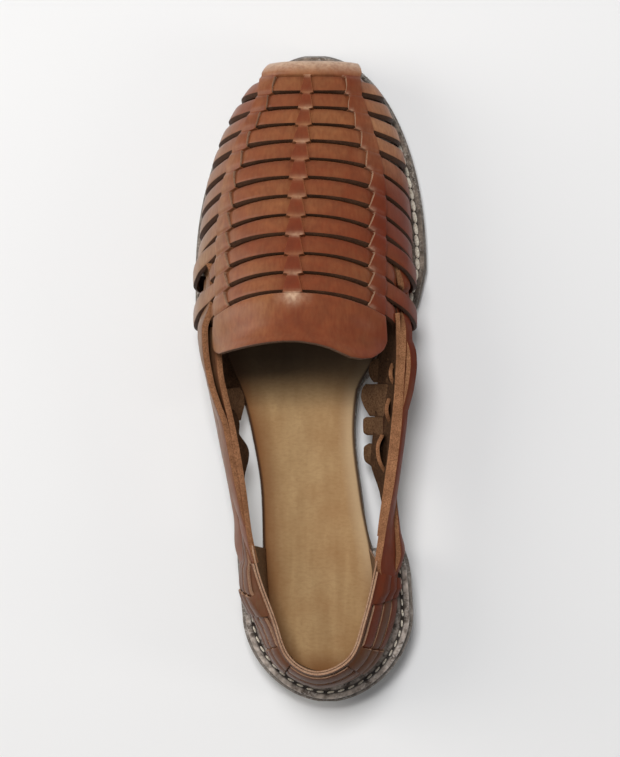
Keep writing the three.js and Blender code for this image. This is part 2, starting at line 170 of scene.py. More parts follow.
def edge_x(line, side, y):
    x = line[side](y)
    for name, toward in (("toe", 1), ("heel", -1)):
        cap = line[name]
        reach = line[side](cap["start"]) - cap["x"]
        part = np.clip((y - cap["start"]) / (cap["y"] - cap["start"]), 0, 1)
        rounded = cap["x"] + reach * (1 - part ** cap[side]) ** (1 / cap[side])
        x = np.where((y - cap["start"]) * toward > 0, rounded, x)
    return x


ball_width = edge_x(SOLE_EDGE, "medial", BALL_Y) - edge_x(SOLE_EDGE, "lateral", BALL_Y)
print("ball width", float(ball_width), "mm")

# %% [markdown]
# ## The last
# The vamp is shaped over a last, a solid foot form. A point on it is named by two numbers: the weave
# row, counted from the toe along the ridge, and the place across, from -1 at the lateral welt over the
# ridge to 1 at the medial welt. Every vamp piece is drawn in these two numbers and lifted off the last
# by its own height, so pieces that cross each other always stay in order.

# %% A point on the last
FEATHER_LIFT = 1.3
SECTION_POWER = 0.88
WIDEST_PART = 0.2
TUCK_ANGLE = math.acos(-((WIDEST_PART / (1 - WIDEST_PART)) ** (1 / SECTION_POWER)))
RIDGE_ROWS = (0, 0.35, 0.7, 1, 2.5, 5, 9, 13, 16.5)
ridge_y = curve(RIDGE_ROWS, (143.5, 144.6, 142.2, 136.4, 124.9, 105.3, 71.2, 36.4, 8.0))
ridge_x = curve(RIDGE_ROWS, (1.0, 0.9, 0.7, 0.3, -0.3, -2.2, -4.3, -5.4, -5.5))
ridge_lift = curve(RIDGE_ROWS, (0, 9, 18.5, 24, 30, 38.6, 50.2, 61.4, 69))
ridge_drop = curve(RIDGE_ROWS, (3.5, 3.5, 3.5, 3.5, 6.0, 13.0, 22.0, 25.0, 17.5))
ridge_arch = curve(RIDGE_ROWS, (0, 0, 0, 0, 1.1, 1.1, 1.1, 1.1, 0))


def bow(value):
    return np.sign(value) * np.abs(value) ** SECTION_POWER


def last_point(row, across):
    end_y = ridge_y(row) - ridge_drop(row)
    foot = welt_top(end_y) + FEATHER_LIFT
    widest = foot + ridge_lift(row) * WIDEST_PART
    angle = np.abs(across) * TUCK_ANGLE
    side = np.where(across < 0, edge_x(LAST_EDGE, "lateral", end_y), edge_x(LAST_EDGE, "medial", end_y))
    x = ridge_x(row) + (side - ridge_x(row)) * bow(np.sin(angle))
    y = ridge_y(row) - ridge_drop(row) * across**2 * (1 + ridge_arch(row) * (1 - across**2))
    z = widest + ridge_lift(row) * (1 - WIDEST_PART) * bow(np.cos(angle))
    return np.stack([x, y, z], axis=-1)


NORMAL_REACH = 0.02


def lifted(surface, first, second, lift):
    along = surface(first + NORMAL_REACH, second) - surface(np.maximum(0, first - NORMAL_REACH), second)
    across = surface(first, second + NORMAL_REACH) - surface(first, second - NORMAL_REACH)
    normal = np.cross(along, across)
    normal /= np.linalg.norm(normal, axis=-1, keepdims=True)
    return surface(first, second) + normal * np.asarray(lift)[..., None]


print("ridge at the throat", last_point(np.array(15.5), np.array(0.0)).round(1), "mm")

# %% [markdown]
# ## The quarter wall
# Behind the vamp the upper is a low wall from the lateral front round the heel to the medial front. It
# is drawn by its foot and its collar, seventeen stations each, and named by station and part of the
# height. The line through the stations bends evenly, as a strap does.

# %% A point on the quarter wall
WALL_FOOT = np.array([
    (-50.0, 46, 22.0), (-49.5, 22, 21.5), (-46.5, 0, 21.5), (-41.5, -25, 22.0), (-35.5, -50, 22.5),
    (-27.0, -82, 22.3), (-23.5, -108, 22.3), (-12.5, -132, 22.3), (8.5, -142.5, 22.3), (29.5, -132, 22.3),
    (40.5, -108, 22.3), (38.0, -82, 22.3), (40.5, -50, 22.5), (43.5, -25, 22.0), (46.0, 0, 21.5),
    (47.0, 22, 21.5), (46.8, 46, 22.0),
])
WALL_COLLAR = np.array([
    (-43.5, 46, 49), (-40.5, 22, 55), (-37.0, 0, 55), (-31.8, -25, 53), (-27.5, -50, 53),
    (-21.6, -84, 57), (-13.0, -108, 61), (-6.5, -125, 62.5), (5.5, -131.5, 63), (19.0, -125, 62.5),
    (25.3, -108, 61), (30.5, -86, 57), (36.8, -50, 53), (39.8, -25, 53), (42.3, 0, 55),
    (43.0, 22, 55), (41.0, 46, 49),
])
WALL_BULGE = 2.2
BACK_STATION = 8


def spline(points, at):
    padded = np.vstack([2 * points[0] - points[1], points, 2 * points[-1] - points[-2]])
    k = np.clip(np.floor(at).astype(int), 0, len(points) - 2)
    part = (at - k)[..., None]
    before, start, end, after = (padded[k + step] for step in range(4))
    leave, arrive = (end - before) / 2, (after - start) / 2
    rest = 1 - part
    level = start * rest**2 * (1 + 2 * part) + end * part**2 * (1 + 2 * rest)
    return level + part * rest * (leave * rest - arrive * part)


def wall_point(station, height):
    foot, collar = spline(WALL_FOOT, station), spline(WALL_COLLAR, station)
    return foot + (collar - foot) * height[..., None]


def wall_lifted(station, height, lift):
    bulge = WALL_BULGE * 4 * np.clip(height, 0, 1) * (1 - np.clip(height, 0, 1))
    return lifted(wall_point, station, height, bulge + lift)


print("collar at the heel", wall_point(np.array(BACK_STATION), np.array(1.0)).round(1), "mm")

# %% [markdown]
# ## Finishes: tools for the leather
# All finishes are made of a few node patterns: cloudy noise for tone, cells for grain, and bumps from
# both. They read Object coordinates, so a pattern lies still on the piece. A value that is the same
# all over is typed straight into the shader.

# %% Nodes, places and patterns
def add_node(tree, kind, **values):
    node = tree.nodes.new("ShaderNode" + kind)
    for name, value in values.items():
        node.inputs[name.replace("_", " ")].default_value = value
    return node


def new_finish(name, **values):
    material = bpy.data.materials.new(name)
    material.use_nodes = True
    shader = material.node_tree.nodes["Principled BSDF"]
    for socket, value in values.items():
        shader.inputs[socket.replace("_", " ")].default_value = value
    return material, material.node_tree, shader


def place_of(tree, stretch=(1, 1, 1)):
    coordinate = add_node(tree, "TexCoord")
    mapping = add_node(tree, "Mapping", Scale=stretch)
    tree.links.new(coordinate.outputs["Object"], mapping.inputs["Vector"])
    return mapping.outputs["Vector"]


def axes(tree):
    split = add_node(tree, "SeparateXYZ")
    tree.links.new(place_of(tree), split.inputs["Vector"])
    return split.outputs["X"], split.outputs["Y"]


def noise(tree, grain_mm, detail=3.0, stretch=(1, 1, 1), wander=0.0):
    node = add_node(tree, "TexNoise", Scale=1 / (grain_mm * MM), Detail=detail, Distortion=wander)
    tree.links.new(place_of(tree, stretch), node.inputs["Vector"])
    return node.outputs["Fac"]


def cells(tree, grain_mm):
    node = add_node(tree, "TexVoronoi", Scale=1 / (grain_mm * MM))
    tree.links.new(place_of(tree), node.inputs["Vector"])
    return node.outputs["Distance"]


def attribute(tree, name):
    node = tree.nodes.new("ShaderNodeAttribute")
    node.attribute_name = name
    return node.outputs["Fac"]


print("patterns: place, noise, cells and a piece's own attributes")

# %% Tones, blends and bumps
def ramp(tree, factor, *stops):
    node = add_node(tree, "ValToRGB")
    band = node.color_ramp
    while len(band.elements) < len(stops):
        band.elements.new(1.0)
    for element, (place, colour) in zip(band.elements, stops):
        element.position = place
        element.color = (*colour, 1)
    tree.links.new(factor, node.inputs["Fac"])
    return node.outputs["Color"]


def span(tree, factor, low, high, to_low, to_high):
    node = add_node(tree, "MapRange", From_Min=low, From_Max=high, To_Min=to_low, To_Max=to_high)
    tree.links.new(factor, node.inputs["Value"])
    return node.outputs["Result"]


def blend(tree, factor, first, second, how="MIX"):
    node = tree.nodes.new("ShaderNodeMix")
    node.data_type = "RGBA"
    node.blend_type = how
    for socket, value in ((node.inputs[0], factor), (node.inputs[6], first), (node.inputs[7], second)):
        if isinstance(value, bpy.types.NodeSocket):
            tree.links.new(value, socket)
        elif isinstance(value, tuple):
            socket.default_value = (*value, 1)
        else:
            socket.default_value = value
    return node.outputs[2]


def both(tree, first, second):
    return blend(tree, 1.0, first, second, "MULTIPLY")


def bumps(tree, shader, *layers):
    under = None
    for height, strength, depth_mm in layers:
        node = add_node(tree, "Bump", Strength=strength, Distance=depth_mm * MM)
        tree.links.new(height, node.inputs["Height"])
        if under:
            tree.links.new(under, node.inputs["Normal"])
        under = node.outputs["Normal"]
    tree.links.new(under, shader.inputs["Normal"])


NOISE_MOST, NOISE_WIDE = (0.35, 0.7), (0.3, 0.7)
print("tones: ramp, span, blend, both and bumps")

# %% [markdown]
# ## Polished calf
# The face of the upper is cognac calf, polished until it reflects. It is not one colour: the tone
# clouds over a few centimetres and darkens where the polish gathers along the strips' edges. Light and
# shade are painted into it as well: the lateral side is painted tan as if lit and the medial side deep
# red as if in shade, the lateral flanks get a painted pale reflection, the medial fingers at the toe a
# painted highlight, and the pale marks a piece asks for are painted highlights with some wear. One plain
# brown would look like plastic, so each of these is its own blend. A piece can ask by its attributes
# for more red, which is its own tone or painted shade, for pale, or for polish. Fine cells give the
# grain, and a slow wave keeps reflections from being flat.

# %% Polished calf
TAN, COGNAC, RED_BROWN = (0.33, 0.141, 0.056), (0.245, 0.068, 0.028), (0.145, 0.021, 0.009)
# Painted light: the flank colour is a painted reflection, and the pale colour is used for painted highlights
# with some wear.
PAINTED_FLANK_SHEEN, PALE_SHEEN_AND_WEAR, OLD_WAX = (0.335, 0.222, 0.12), (0.64, 0.43, 0.29), (0.055, 0.028, 0.017)
# The toe-flank colour is a painted highlight.
UMBER, TOE_HIGHLIGHT, EDGE_POLISH = (0.098, 0.053, 0.027), (0.47, 0.228, 0.109), (0.09, 0.02, 0.01)
SHOE_HALF_WIDTH = 0.05
FLANK_X = (-0.030, -0.048)
TOE_FADE_Y = (0.07, 0.12)
TOE_HIGHLIGHT_X, TOE_HIGHLIGHT_Y = (0.020, 0.030), (0.085, 0.110)
# Painted light and shade: the lateral side is blended toward tan as if lit, the medial side toward deep red
# as if in shade.
MEDIAL_SHADE_AMOUNT, TOE_KEEPS, LATERAL_LIT_TAN, MEDIAL_SHADE_RED = 0.92, 0.45, 0.45, 0.55
FLANK_SHEEN_AMOUNT, TOE_HIGHLIGHT_AMOUNT = 0.65, 0.85
FIBRE_RED, TONE_AND_SHADE_RED, MOTTLE_WAX, POLISH_AMOUNT = 0.35, 0.65, 0.22, 0.45
SPECKS, SPECK_AMOUNTS = (0.38, 0.58), (0.6, 1.0)


def calf_tone(tree, x, y, waxed, umber):
    clouds = noise(tree, grain_mm=38, wander=0.4)
    tone = ramp(tree, clouds, (0.3, RED_BROWN), (0.5, COGNAC), (0.72, TAN))
    # Painted light and shade: the lateral side is painted tan as if lit and the medial side deep red as if in
    # shade, less so toward the toe.
    medial = span(tree, x, -SHOE_HALF_WIDTH, 0.8 * SHOE_HALF_WIDTH, 0.0, MEDIAL_SHADE_AMOUNT)
    medial = both(tree, medial, span(tree, y, *TOE_FADE_Y, 1.0, TOE_KEEPS))
    lit_lateral_tone, shaded_medial_tone = blend(tree, LATERAL_LIT_TAN, tone, TAN), blend(tree, MEDIAL_SHADE_RED, tone, RED_BROWN)
    tone = blend(tree, medial, lit_lateral_tone, shaded_medial_tone)
    # Painted reflection: the lateral flank is painted pale.
    tone = blend(tree, span(tree, x, *FLANK_X, 0.0, FLANK_SHEEN_AMOUNT), tone, PAINTED_FLANK_SHEEN)
    tone = blend(tree, span(tree, x, -SHOE_HALF_WIDTH / 2, SHOE_HALF_WIDTH / 2, *umber), tone, UMBER)
    # Painted highlight on the medial fingers near the toe, where light catches them.
    toe_highlight = span(tree, y, *TOE_HIGHLIGHT_Y, 0.0, TOE_HIGHLIGHT_AMOUNT)
    tone = blend(tree, both(tree, span(tree, x, *TOE_HIGHLIGHT_X, 0.0, 1.0), toe_highlight), tone, TOE_HIGHLIGHT)
    fibres = noise(tree, grain_mm=1.3, detail=4, stretch=(1, 0.25, 1))
    tone = blend(tree, span(tree, fibres, *NOISE_MOST, 0.0, FIBRE_RED), tone, RED_BROWN)
    # The piece's own tone, and on the panel painted shade, deepen the red.
    tone = blend(tree, span(tree, attribute(tree, "tone_and_shade"), 0.0, 1.0, 0.0, TONE_AND_SHADE_RED), tone, RED_BROWN)
    # Painted highlights, with some wear, come from the pale attribute and are broken into specks.
    pale_specks = span(tree, noise(tree, grain_mm=1.6, detail=4), *SPECKS, *SPECK_AMOUNTS)
    pale = span(tree, attribute(tree, "pale"), 0.0, 1.0, 0.0, 1.0)
    tone = blend(tree, both(tree, pale, pale_specks), tone, PALE_SHEEN_AND_WEAR)
    mottle = noise(tree, grain_mm=5, detail=4, wander=0.5)
    tone = blend(tree, span(tree, mottle, *NOISE_MOST, 0.0, MOTTLE_WAX), tone, OLD_WAX)
    tone = blend(tree, waxed, tone, OLD_WAX)
    polish = span(tree, attribute(tree, "edge_polish"), 0.0, 1.0, 0.0, POLISH_AMOUNT)
    return blend(tree, polish, tone, EDGE_POLISH)


def polished_calf(name, shine_lateral, shine_medial=0.0, coat=0.0, waxed=0.0, umber=(0.0, 0.0)):
    material, tree, shader = new_finish(name, Coat_Weight=coat, Coat_Roughness=0.22)
    x, y = axes(tree)
    tree.links.new(calf_tone(tree, x, y, waxed, umber), shader.inputs["Base Color"])
    shine = span(tree, x, -SHOE_HALF_WIDTH, SHOE_HALF_WIDTH, shine_lateral, shine_medial)
    tree.links.new(shine, shader.inputs["Specular IOR Level"])
    medial_pale = noise(tree, grain_mm=14, detail=4)
    tree.links.new(span(tree, medial_pale, *NOISE_WIDE, 0.30, 0.46), shader.inputs["Roughness"])
    bumps(
        tree, shader,
        (noise(tree, grain_mm=9, detail=2), 0.25, 0.5),
        (cells(tree, grain_mm=0.75), 0.10, 0.12),
        (noise(tree, grain_mm=0.5, detail=5), 0.12, 0.1),
    )
    return material


calf = polished_calf("polished_calf", shine_lateral=0.42, shine_medial=0.03, coat=0.08)
strap_calf = polished_calf("strap_calf", shine_lateral=0.12, waxed=0.05, umber=(0.25, 0.0))
counter_calf = polished_calf("counter_calf", shine_lateral=0.2, waxed=0.08, umber=(0.75, 0.85))
print("made", calf.name, strap_calf.name, counter_calf.name)

# %% [markdown]
# ## Cut edges and the flesh side
# Leather shows three skins: the polished face, the raw cut edge and the fuzzy flesh side. Solidify can
# give each its own material slot, so each finish is made once here. The slotted panel was cut pale and
# its throat edge burnished, the strips' edges were dyed dark, and the straps' edges were left raw and
# orange. Linings are smoother, and the waist tabs show a lighter suede. All are the same fibres in other
# tones, so one function makes them from a short table.

# %% Cut edges and flesh side
RAW_LEATHERS = {
    "pale_cut_edge": ((0.46, 0.30, 0.20), (0.26, 0.13, 0.075), 0.5, 0.15, 0.6),
    "dark_cut_edge": ((0.075, 0.034, 0.018), (0.028, 0.012, 0.007), 0.5, 0.15, 0.65),
    "burnished_edge": ((0.20, 0.115, 0.075), (0.085, 0.045, 0.027), 0.5, 0.15, 0.5),
    "raw_strap_edge": ((0.37, 0.176, 0.087), (0.14, 0.058, 0.026), 0.55, 0.3, 0.85),
    "flesh_side": ((0.115, 0.058, 0.030), (0.032, 0.015, 0.008), 0.8, 0.3, 0.9),
    "lining_leather": ((0.20, 0.12, 0.07), (0.10, 0.055, 0.03), 1.2, 0.1, 0.6),
    "light_suede": ((0.20, 0.11, 0.058), (0.075, 0.036, 0.018), 0.8, 0.35, 0.9),
}


def raw_leather(name, light, dark, fibre_mm, depth_mm, roughness):
    material, tree, shader = new_finish(name, Roughness=roughness, Specular_IOR_Level=0.15)
    clouds = noise(tree, grain_mm=6)
    fibre = noise(tree, fibre_mm, detail=5, wander=0.6)
    tone = ramp(tree, fibre, (0.32, dark), (0.62, light))
    tone = blend(tree, span(tree, clouds, *NOISE_MOST, 0.0, 0.5), tone, dark)
    tree.links.new(tone, shader.inputs["Base Color"])
    bumps(tree, shader, (fibre, 0.5, depth_mm), (noise(tree, fibre_mm * 3), 0.3, depth_mm))
    return material


pale_edge, dark_edge, burnished_edge, strap_edge, flesh_side, lining_leather, light_suede = (
    raw_leather(name, *row) for name, row in RAW_LEATHERS.items()
)
print("made", ", ".join(RAW_LEATHERS))

# %% [markdown]
# ## Sock, welt, sole and thread
# The insole is smooth tan leather, burnished orange toward its lateral edge and the heel, paler along
# the medial waist, painted dark under the vamp as the vamp's shade, and nearly black at the very edge.
# The welt and sole are grey-brown with pale specks where the dressing has worn off. The thread is waxed
# and cream, and painted dark as shade round the toe and the lateral forefoot. The insole reads its
# burnish from each vertex's distance to the edge, which follows the outline better than any picture
# pattern would.

# %% Sock leather
SOCK_LOW, SOCK_HIGH, SOCK_PALE = (0.43, 0.26, 0.118), (0.53, 0.34, 0.165), (0.62, 0.45, 0.27)
SOCK_GRAIN, SOCK_STAIN, SOCK_BURNISH = (0.30, 0.155, 0.06), (0.33, 0.15, 0.05), (0.20, 0.075, 0.022)
SOCK_SHADE, SOCK_RIM, BLACK = (0.05, 0.026, 0.012), (0.035, 0.014, 0.007), (0.0, 0.0, 0.0)
BURNISH_MM, MEDIAL_PALE_MM, RIM_MM = (13.0, 0.0), (8.0, 3.0), (1.5, 0.6)
WAIST_X, WAIST_Y, UNDER_VAMP_Y = (0.0, 0.018), (-0.105, -0.080), (-0.014, 0.010)
GRAIN_AMOUNT, STAIN_AMOUNT, WAIST_AMOUNT, MEDIAL_PALE_AMOUNT = 0.35, 0.4, 0.75, 0.7
BURNISH_MOTTLE, BURNISH_FROM, BURNISH_AMOUNT = 0.28, (0.1, 0.8), 0.92
SHADE_AMOUNT, RIM_AMOUNT = 0.75, 0.9


def sock_finish():
    material, tree, shader = new_finish("sock_leather", Coat_Weight=0.12, Coat_Roughness=0.3)
    x, y = axes(tree)
    streaks = noise(tree, grain_mm=5, detail=4, stretch=(1, 0.12, 1), wander=0.3)
    tone = ramp(tree, streaks, (0.3, SOCK_LOW), (0.7, SOCK_HIGH))
    grain = noise(tree, grain_mm=1.1, detail=5, stretch=(0.5, 1, 1), wander=0.4)
    tone = blend(tree, span(tree, grain, 0.4, 0.75, 0.0, GRAIN_AMOUNT), tone, SOCK_GRAIN)
    stain = noise(tree, grain_mm=22)
    tone = blend(tree, span(tree, stain, 0.45, 0.75, 0.0, STAIN_AMOUNT), tone, SOCK_STAIN)
    edge = attribute(tree, "edge_mm")
    at_waist = span(tree, y, *WAIST_Y, 0.0, 1.0)
    medial_waist = both(tree, span(tree, x, *WAIST_X, 0.0, WAIST_AMOUNT), at_waist)
    burnish = span(tree, edge, *BURNISH_MM, 0.0, 1.0)
    burnish = blend(tree, BURNISH_MOTTLE, burnish, noise(tree, grain_mm=16), "MULTIPLY")
    burnish = span(tree, burnish, *BURNISH_FROM, 0.0, BURNISH_AMOUNT)
    burnish = blend(tree, medial_waist, burnish, BLACK)
    tone = blend(tree, burnish, tone, SOCK_BURNISH)
    # The medial waist is made paler near the edge.
    medial_pale = both(tree, medial_waist, span(tree, edge, *MEDIAL_PALE_MM, 0.0, MEDIAL_PALE_AMOUNT))
    tone = blend(tree, medial_pale, tone, SOCK_PALE)
    # Painted shade: the insole is darkened under the vamp, where the vamp's shadow falls.
    tone = blend(tree, span(tree, y, *UNDER_VAMP_Y, 0.0, SHADE_AMOUNT), tone, SOCK_SHADE)
    tone = blend(tree, span(tree, edge, *RIM_MM, 0.0, RIM_AMOUNT), tone, SOCK_RIM)
    tree.links.new(tone, shader.inputs["Base Color"])
    tree.links.new(span(tree, streaks, *NOISE_WIDE, 0.42, 0.55), shader.inputs["Roughness"])
    waves = noise(tree, grain_mm=7, detail=2, stretch=(1, 0.3, 1))
    bumps(tree, shader, (grain, 0.25, 0.18), (waves, 0.12, 0.4))
    return material


sock_leather = sock_finish()
print("made", sock_leather.name)

# %% Welt, sole and heel
WORN_LAYERS = {
    "front_welt": ((0.055, 0.043, 0.034), (0.25, 0.20, 0.16), (0.52, 0.47, 0.42), 0.7, 0.42),
    "welt_leather": ((0.09, 0.07, 0.057), (0.54, 0.46, 0.40), (0.66, 0.61, 0.56), 0.7, 0.42),
    "sole_layer": ((0.12, 0.10, 0.085), (0.24, 0.21, 0.185), (0.5, 0.47, 0.44), 0.6, 0.55),
    "heel_stack": ((0.05, 0.036, 0.027), (0.10, 0.075, 0.055), (0.25, 0.21, 0.18), 0.35, 0.5),
}
SEAM_DARK, SEAM_FROM, SEAM_AMOUNT = (0.018, 0.013, 0.010), (0.3, 0.8), 0.92
FLECKS, PATCHES, PATCH_AMOUNTS = (0.5, 0.66), (0.4, 0.6), (0.2, 1.0)


def worn_layer(name, dark, mid, speck, speck_amount, roughness):
    material, tree, shader = new_finish(name, Roughness=roughness, Specular_IOR_Level=0.4)
    tone = ramp(tree, noise(tree, grain_mm=3.5, detail=5), (0.35, dark), (0.68, mid))
    worn = noise(tree, grain_mm=1.1, detail=6, wander=0.5)
    patch = noise(tree, grain_mm=11, detail=2)
    flecks = both(tree, span(tree, worn, *FLECKS, 0.0, 1.0), span(tree, patch, *PATCHES, *PATCH_AMOUNTS))
    tone = blend(tree, both(tree, flecks, (speck_amount,) * 3), tone, speck)
    tone = blend(tree, span(tree, attribute(tree, "seam"), *SEAM_FROM, 0.0, SEAM_AMOUNT), tone, SEAM_DARK)
    tree.links.new(tone, shader.inputs["Base Color"])
    bumps(tree, shader, (worn, 0.35, 0.25), (noise(tree, grain_mm=6), 0.2, 0.4))
    return material


front_welt, welt_leather, sole_layer, heel_stack = (
    worn_layer(name, *row) for name, row in WORN_LAYERS.items()
)
print("made", ", ".join(WORN_LAYERS))

# %% Waxed thread
THREAD_SHADE, THREAD_CREAM, THREAD_PAINTED_SHADE = (0.45, 0.37, 0.27), (0.80, 0.74, 0.63), (0.03, 0.02, 0.014)
FOREFOOT_Y, SHADED_X, THREAD_SHADE_AMOUNT = (0.0, 0.02), (0.040, 0.030), 0.93


def thread_finish():
    material, tree, shader = new_finish("waxed_thread", Roughness=0.6, Sheen_Weight=0.2)
    x, y = axes(tree)
    twist = noise(tree, grain_mm=0.7)
    tone = ramp(tree, twist, (0.3, THREAD_SHADE), (0.6, THREAD_CREAM))
    # Painted shade: the thread is darkened round the toe and the lateral forefoot, where it lies in the
    # strips' shade.
    forefoot = span(tree, y, *FOREFOOT_Y, 0.0, 1.0)
    shaded_stitches = both(tree, forefoot, span(tree, x, *SHADED_X, 0.0, THREAD_SHADE_AMOUNT))
    tree.links.new(blend(tree, shaded_stitches, tone, THREAD_PAINTED_SHADE), shader.inputs["Base Color"])
    bumps(tree, shader, (twist, 0.4, 0.2))
    return material


waxed_thread = thread_finish()
print("made", waxed_thread.name)

# %% [markdown]
# ## Cutting, lasting and finishing a piece
# Every leather piece goes through the same four steps. A flat grid is added, as a flat piece is cut
# from a hide. Its vertices are moved to their places on the last, as leather is pulled over it.
# Solidify gives the hide its thickness, with one finish for the face, one for the cut edge and one for
# the flesh side. Bevel breaks the sharp edge, as a finishing tool does. Sculpting each piece by hand
# would be slower and would never fit the next piece as closely.

# %% Cut a flat piece and lay it on the last
def cut_piece(name, columns, rows):
    bpy.ops.object.select_all(action="DESELECT")
    bpy.ops.mesh.primitive_grid_add(x_subdivisions=columns, y_subdivisions=rows, size=1)
    piece = bpy.context.object
    piece.name = name
    piece.data.name = name
    row, column = np.divmod(np.arange(len(piece.data.vertices)), columns + 1)
    return piece, column, row


def lay(piece, points):
    piece.data.vertices.foreach_set("co", ((points + zero) * MM).ravel())
    piece.data.update()


def mark(piece, name, values):
    layer = piece.data.attributes.new(name, "FLOAT", "POINT")
    layer.data.foreach_set("value", np.asarray(values, float))


def cut_slots(piece, columns, chosen):
    faces = np.array([face.vertices[:] for face in piece.data.polygons]).min(axis=1)
    row, column = np.divmod(faces, columns + 1)
    bpy.ops.object.mode_set(mode="EDIT")
    bpy.ops.mesh.select_mode(type="FACE")
    bpy.ops.mesh.select_all(action="DESELECT")
    bpy.ops.object.mode_set(mode="OBJECT")
    piece.data.polygons.foreach_set("select", chosen(column, row))
    bpy.ops.object.mode_set(mode="EDIT")
    bpy.ops.mesh.delete(type="FACE")
    bpy.ops.object.mode_set(mode="OBJECT")


print("steps of a flat piece: cut, lay, mark and cut slots")

# %% Give a piece its thickness, edges and finish
RIM_SLOT = 1
SHARP_ANGLE = 55
WEAVE = ("woven_leather", "upper")


def apply_modifier(piece, kind, **settings):
    modifier = piece.modifiers.new(kind.lower(), kind)
    for name, value in settings.items():
        setattr(modifier, name, value)
    bpy.context.view_layer.objects.active = piece
    bpy.ops.object.modifier_apply(modifier=modifier.name)


def own(piece, slot, *nodes):
    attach(piece, "root")
    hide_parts(*nodes)
    print(piece.name, "has", len(piece.data.polygons), "faces")


def finish_piece(piece, wall, edge, finishes, slot, *nodes):
    for finish in finishes:
        piece.data.materials.append(finish)
    last_slot = len(finishes) - 1
    apply_modifier(
        piece, "SOLIDIFY", thickness=wall * MM, offset=-1,
        material_offset_rim=min(RIM_SLOT, last_slot), material_offset=last_slot,
    )
    apply_modifier(
        piece, "BEVEL", width=edge * MM, segments=2,
        limit_method="ANGLE", angle_limit=math.radians(SHARP_ANGLE),
    )
    bpy.ops.object.shade_smooth()
    own(piece, slot, *nodes)


print("edges sharper than", SHARP_ANGLE, "degrees are broken")

# %% [markdown]
# ## Sole, insole and heel
# Each of these is a flat plate cut to an outline that follows the rise of the sole. The rows of the
# grid are closer at toe and heel, where the outline turns fast, and a row is put at each side of the
# heel breast, where the sole steps in to the waist. The insole keeps each vertex's distance to its edge
# as an attribute, which the burnish reads.

# %% Plates cut to an outline
HEEL_BREAST = (-80.5, -79.5)
TIP_MARGIN = 0.35
TIP_CROWDING = 0.9
PLATE_ROWS, PLATE_EDGE = 110, 0.3


def plate_rows(line, end=None):
    part = np.linspace(0, 1, PLATE_ROWS)
    crowded = mix(part, (1 - np.cos(part * math.pi)) / 2, TIP_CROWDING)
    rows = mix(line["heel"]["y"] + TIP_MARGIN, line["toe"]["y"] - TIP_MARGIN, crowded)
    end = rows[-1] if end is None else end
    rows = np.concatenate([rows, HEEL_BREAST, [end]])
    return np.unique(rows[rows <= end])


def lay_plate(name, line, rows, height, inset=0, columns=16):
    piece, column, row = cut_piece(name, columns, len(rows) - 1)
    y = rows[row]
    lateral, medial = edge_x(line, "lateral", y) + inset, edge_x(line, "medial", y) - inset
    middle, half = (lateral + medial) / 2, np.maximum(medial - lateral, 0) / 2
    part = 2 * column / columns - 1
    edge = half * (1 - np.abs(part))
    tip = np.minimum(line["toe"]["y"] - y, y - line["heel"]["y"])
    mark(piece, "edge_mm", np.minimum(edge, tip))
    lay(piece, np.stack([middle + half * part, y, height(y)], axis=-1))
    return piece


sole = lay_plate("outsole_plate", SOLE_EDGE, plate_rows(SOLE_EDGE), sole_top)
finish_piece(sole, SOLE_THICKNESS, PLATE_EDGE, [sole_layer], "sole_rubber", "outsole")

# %% Heel block
HEEL_INSET, BREAST_MARGIN = 0.8, 0.5
heel_rows = plate_rows(SOLE_EDGE, HEEL_BREAST[0] - BREAST_MARGIN)
heel_top = sole_bottom(HEEL_BREAST[0]) - SEAT_GAP
heel_block = lay_plate("heel_block", SOLE_EDGE, heel_rows, lambda y: np.full_like(y, heel_top), HEEL_INSET)
finish_piece(heel_block, heel_top, PLATE_EDGE, [heel_stack], "sole_rubber", "heel")

# %% Insole
INSOLE_DISH = 0.7
DISH_FRONT, DISH_BACK = (-80, -110), (-136, -120)


def insole_top(y):
    return welt_top(y) - INSOLE_DISH * smooth_step(y, *DISH_FRONT) * smooth_step(y, *DISH_BACK)


insole = lay_plate("insole_sock", INSOLE_EDGE, plate_rows(INSOLE_EDGE), insole_top, columns=28)
finish_piece(insole, WELT_THICKNESS, PLATE_EDGE, [sock_leather], "sock_leather", "insole")

# %% [markdown]
# ## Welts
# A welt is a strip of firm leather sewn round the edge, one round the forefoot and one round the heel
# seat. Its grid runs along the outline, with its outer line just inside the sole's edge, so that a thin
# step of sole shows outside it, and its inner line against the insole. A plain inset of the sole would
# bunch up at the toe, so the path's own direction gives the inset.

# %% A path along an outline
def cap_points(line, cap_name, side, turn):
    cap = line[cap_name]
    power = 2 / cap[side]
    reach = line[side](cap["start"]) - cap["x"]
    x = cap["x"] + reach * np.maximum(np.cos(turn), 0) ** power
    y = cap["start"] + (cap["y"] - cap["start"]) * np.sin(turn) ** power
    return np.stack([x, y], axis=-1)


def outline_path(line, cap_name, lateral_end, medial_end, inset, straight=40, round_steps=60):
    start = line[cap_name]["start"]
    turn = np.linspace(0, math.pi / 2, round_steps)
    lateral_y = np.linspace(lateral_end, start, straight)[:-1]
    medial_y = np.linspace(start, medial_end, straight)[1:]
    path = np.concatenate([
        np.stack([edge_x(line, "lateral", lateral_y), lateral_y], axis=-1),
        cap_points(line, cap_name, "lateral", turn),
        cap_points(line, cap_name, "medial", turn[::-1][1:]),
        np.stack([edge_x(line, "medial", medial_y), medial_y], axis=-1),
    ])
    along = np.gradient(path, axis=0)
    along /= np.linalg.norm(along, axis=1, keepdims=True)
    toward = 1 if cap_name == "toe" else -1
    return path + inset * toward * np.stack([along[:, 1], -along[:, 0]], axis=-1)


def walked(path):
    steps = np.linalg.norm(np.diff(path[:, :2], axis=0), axis=1)
    return np.concatenate([[0], np.cumsum(steps)])


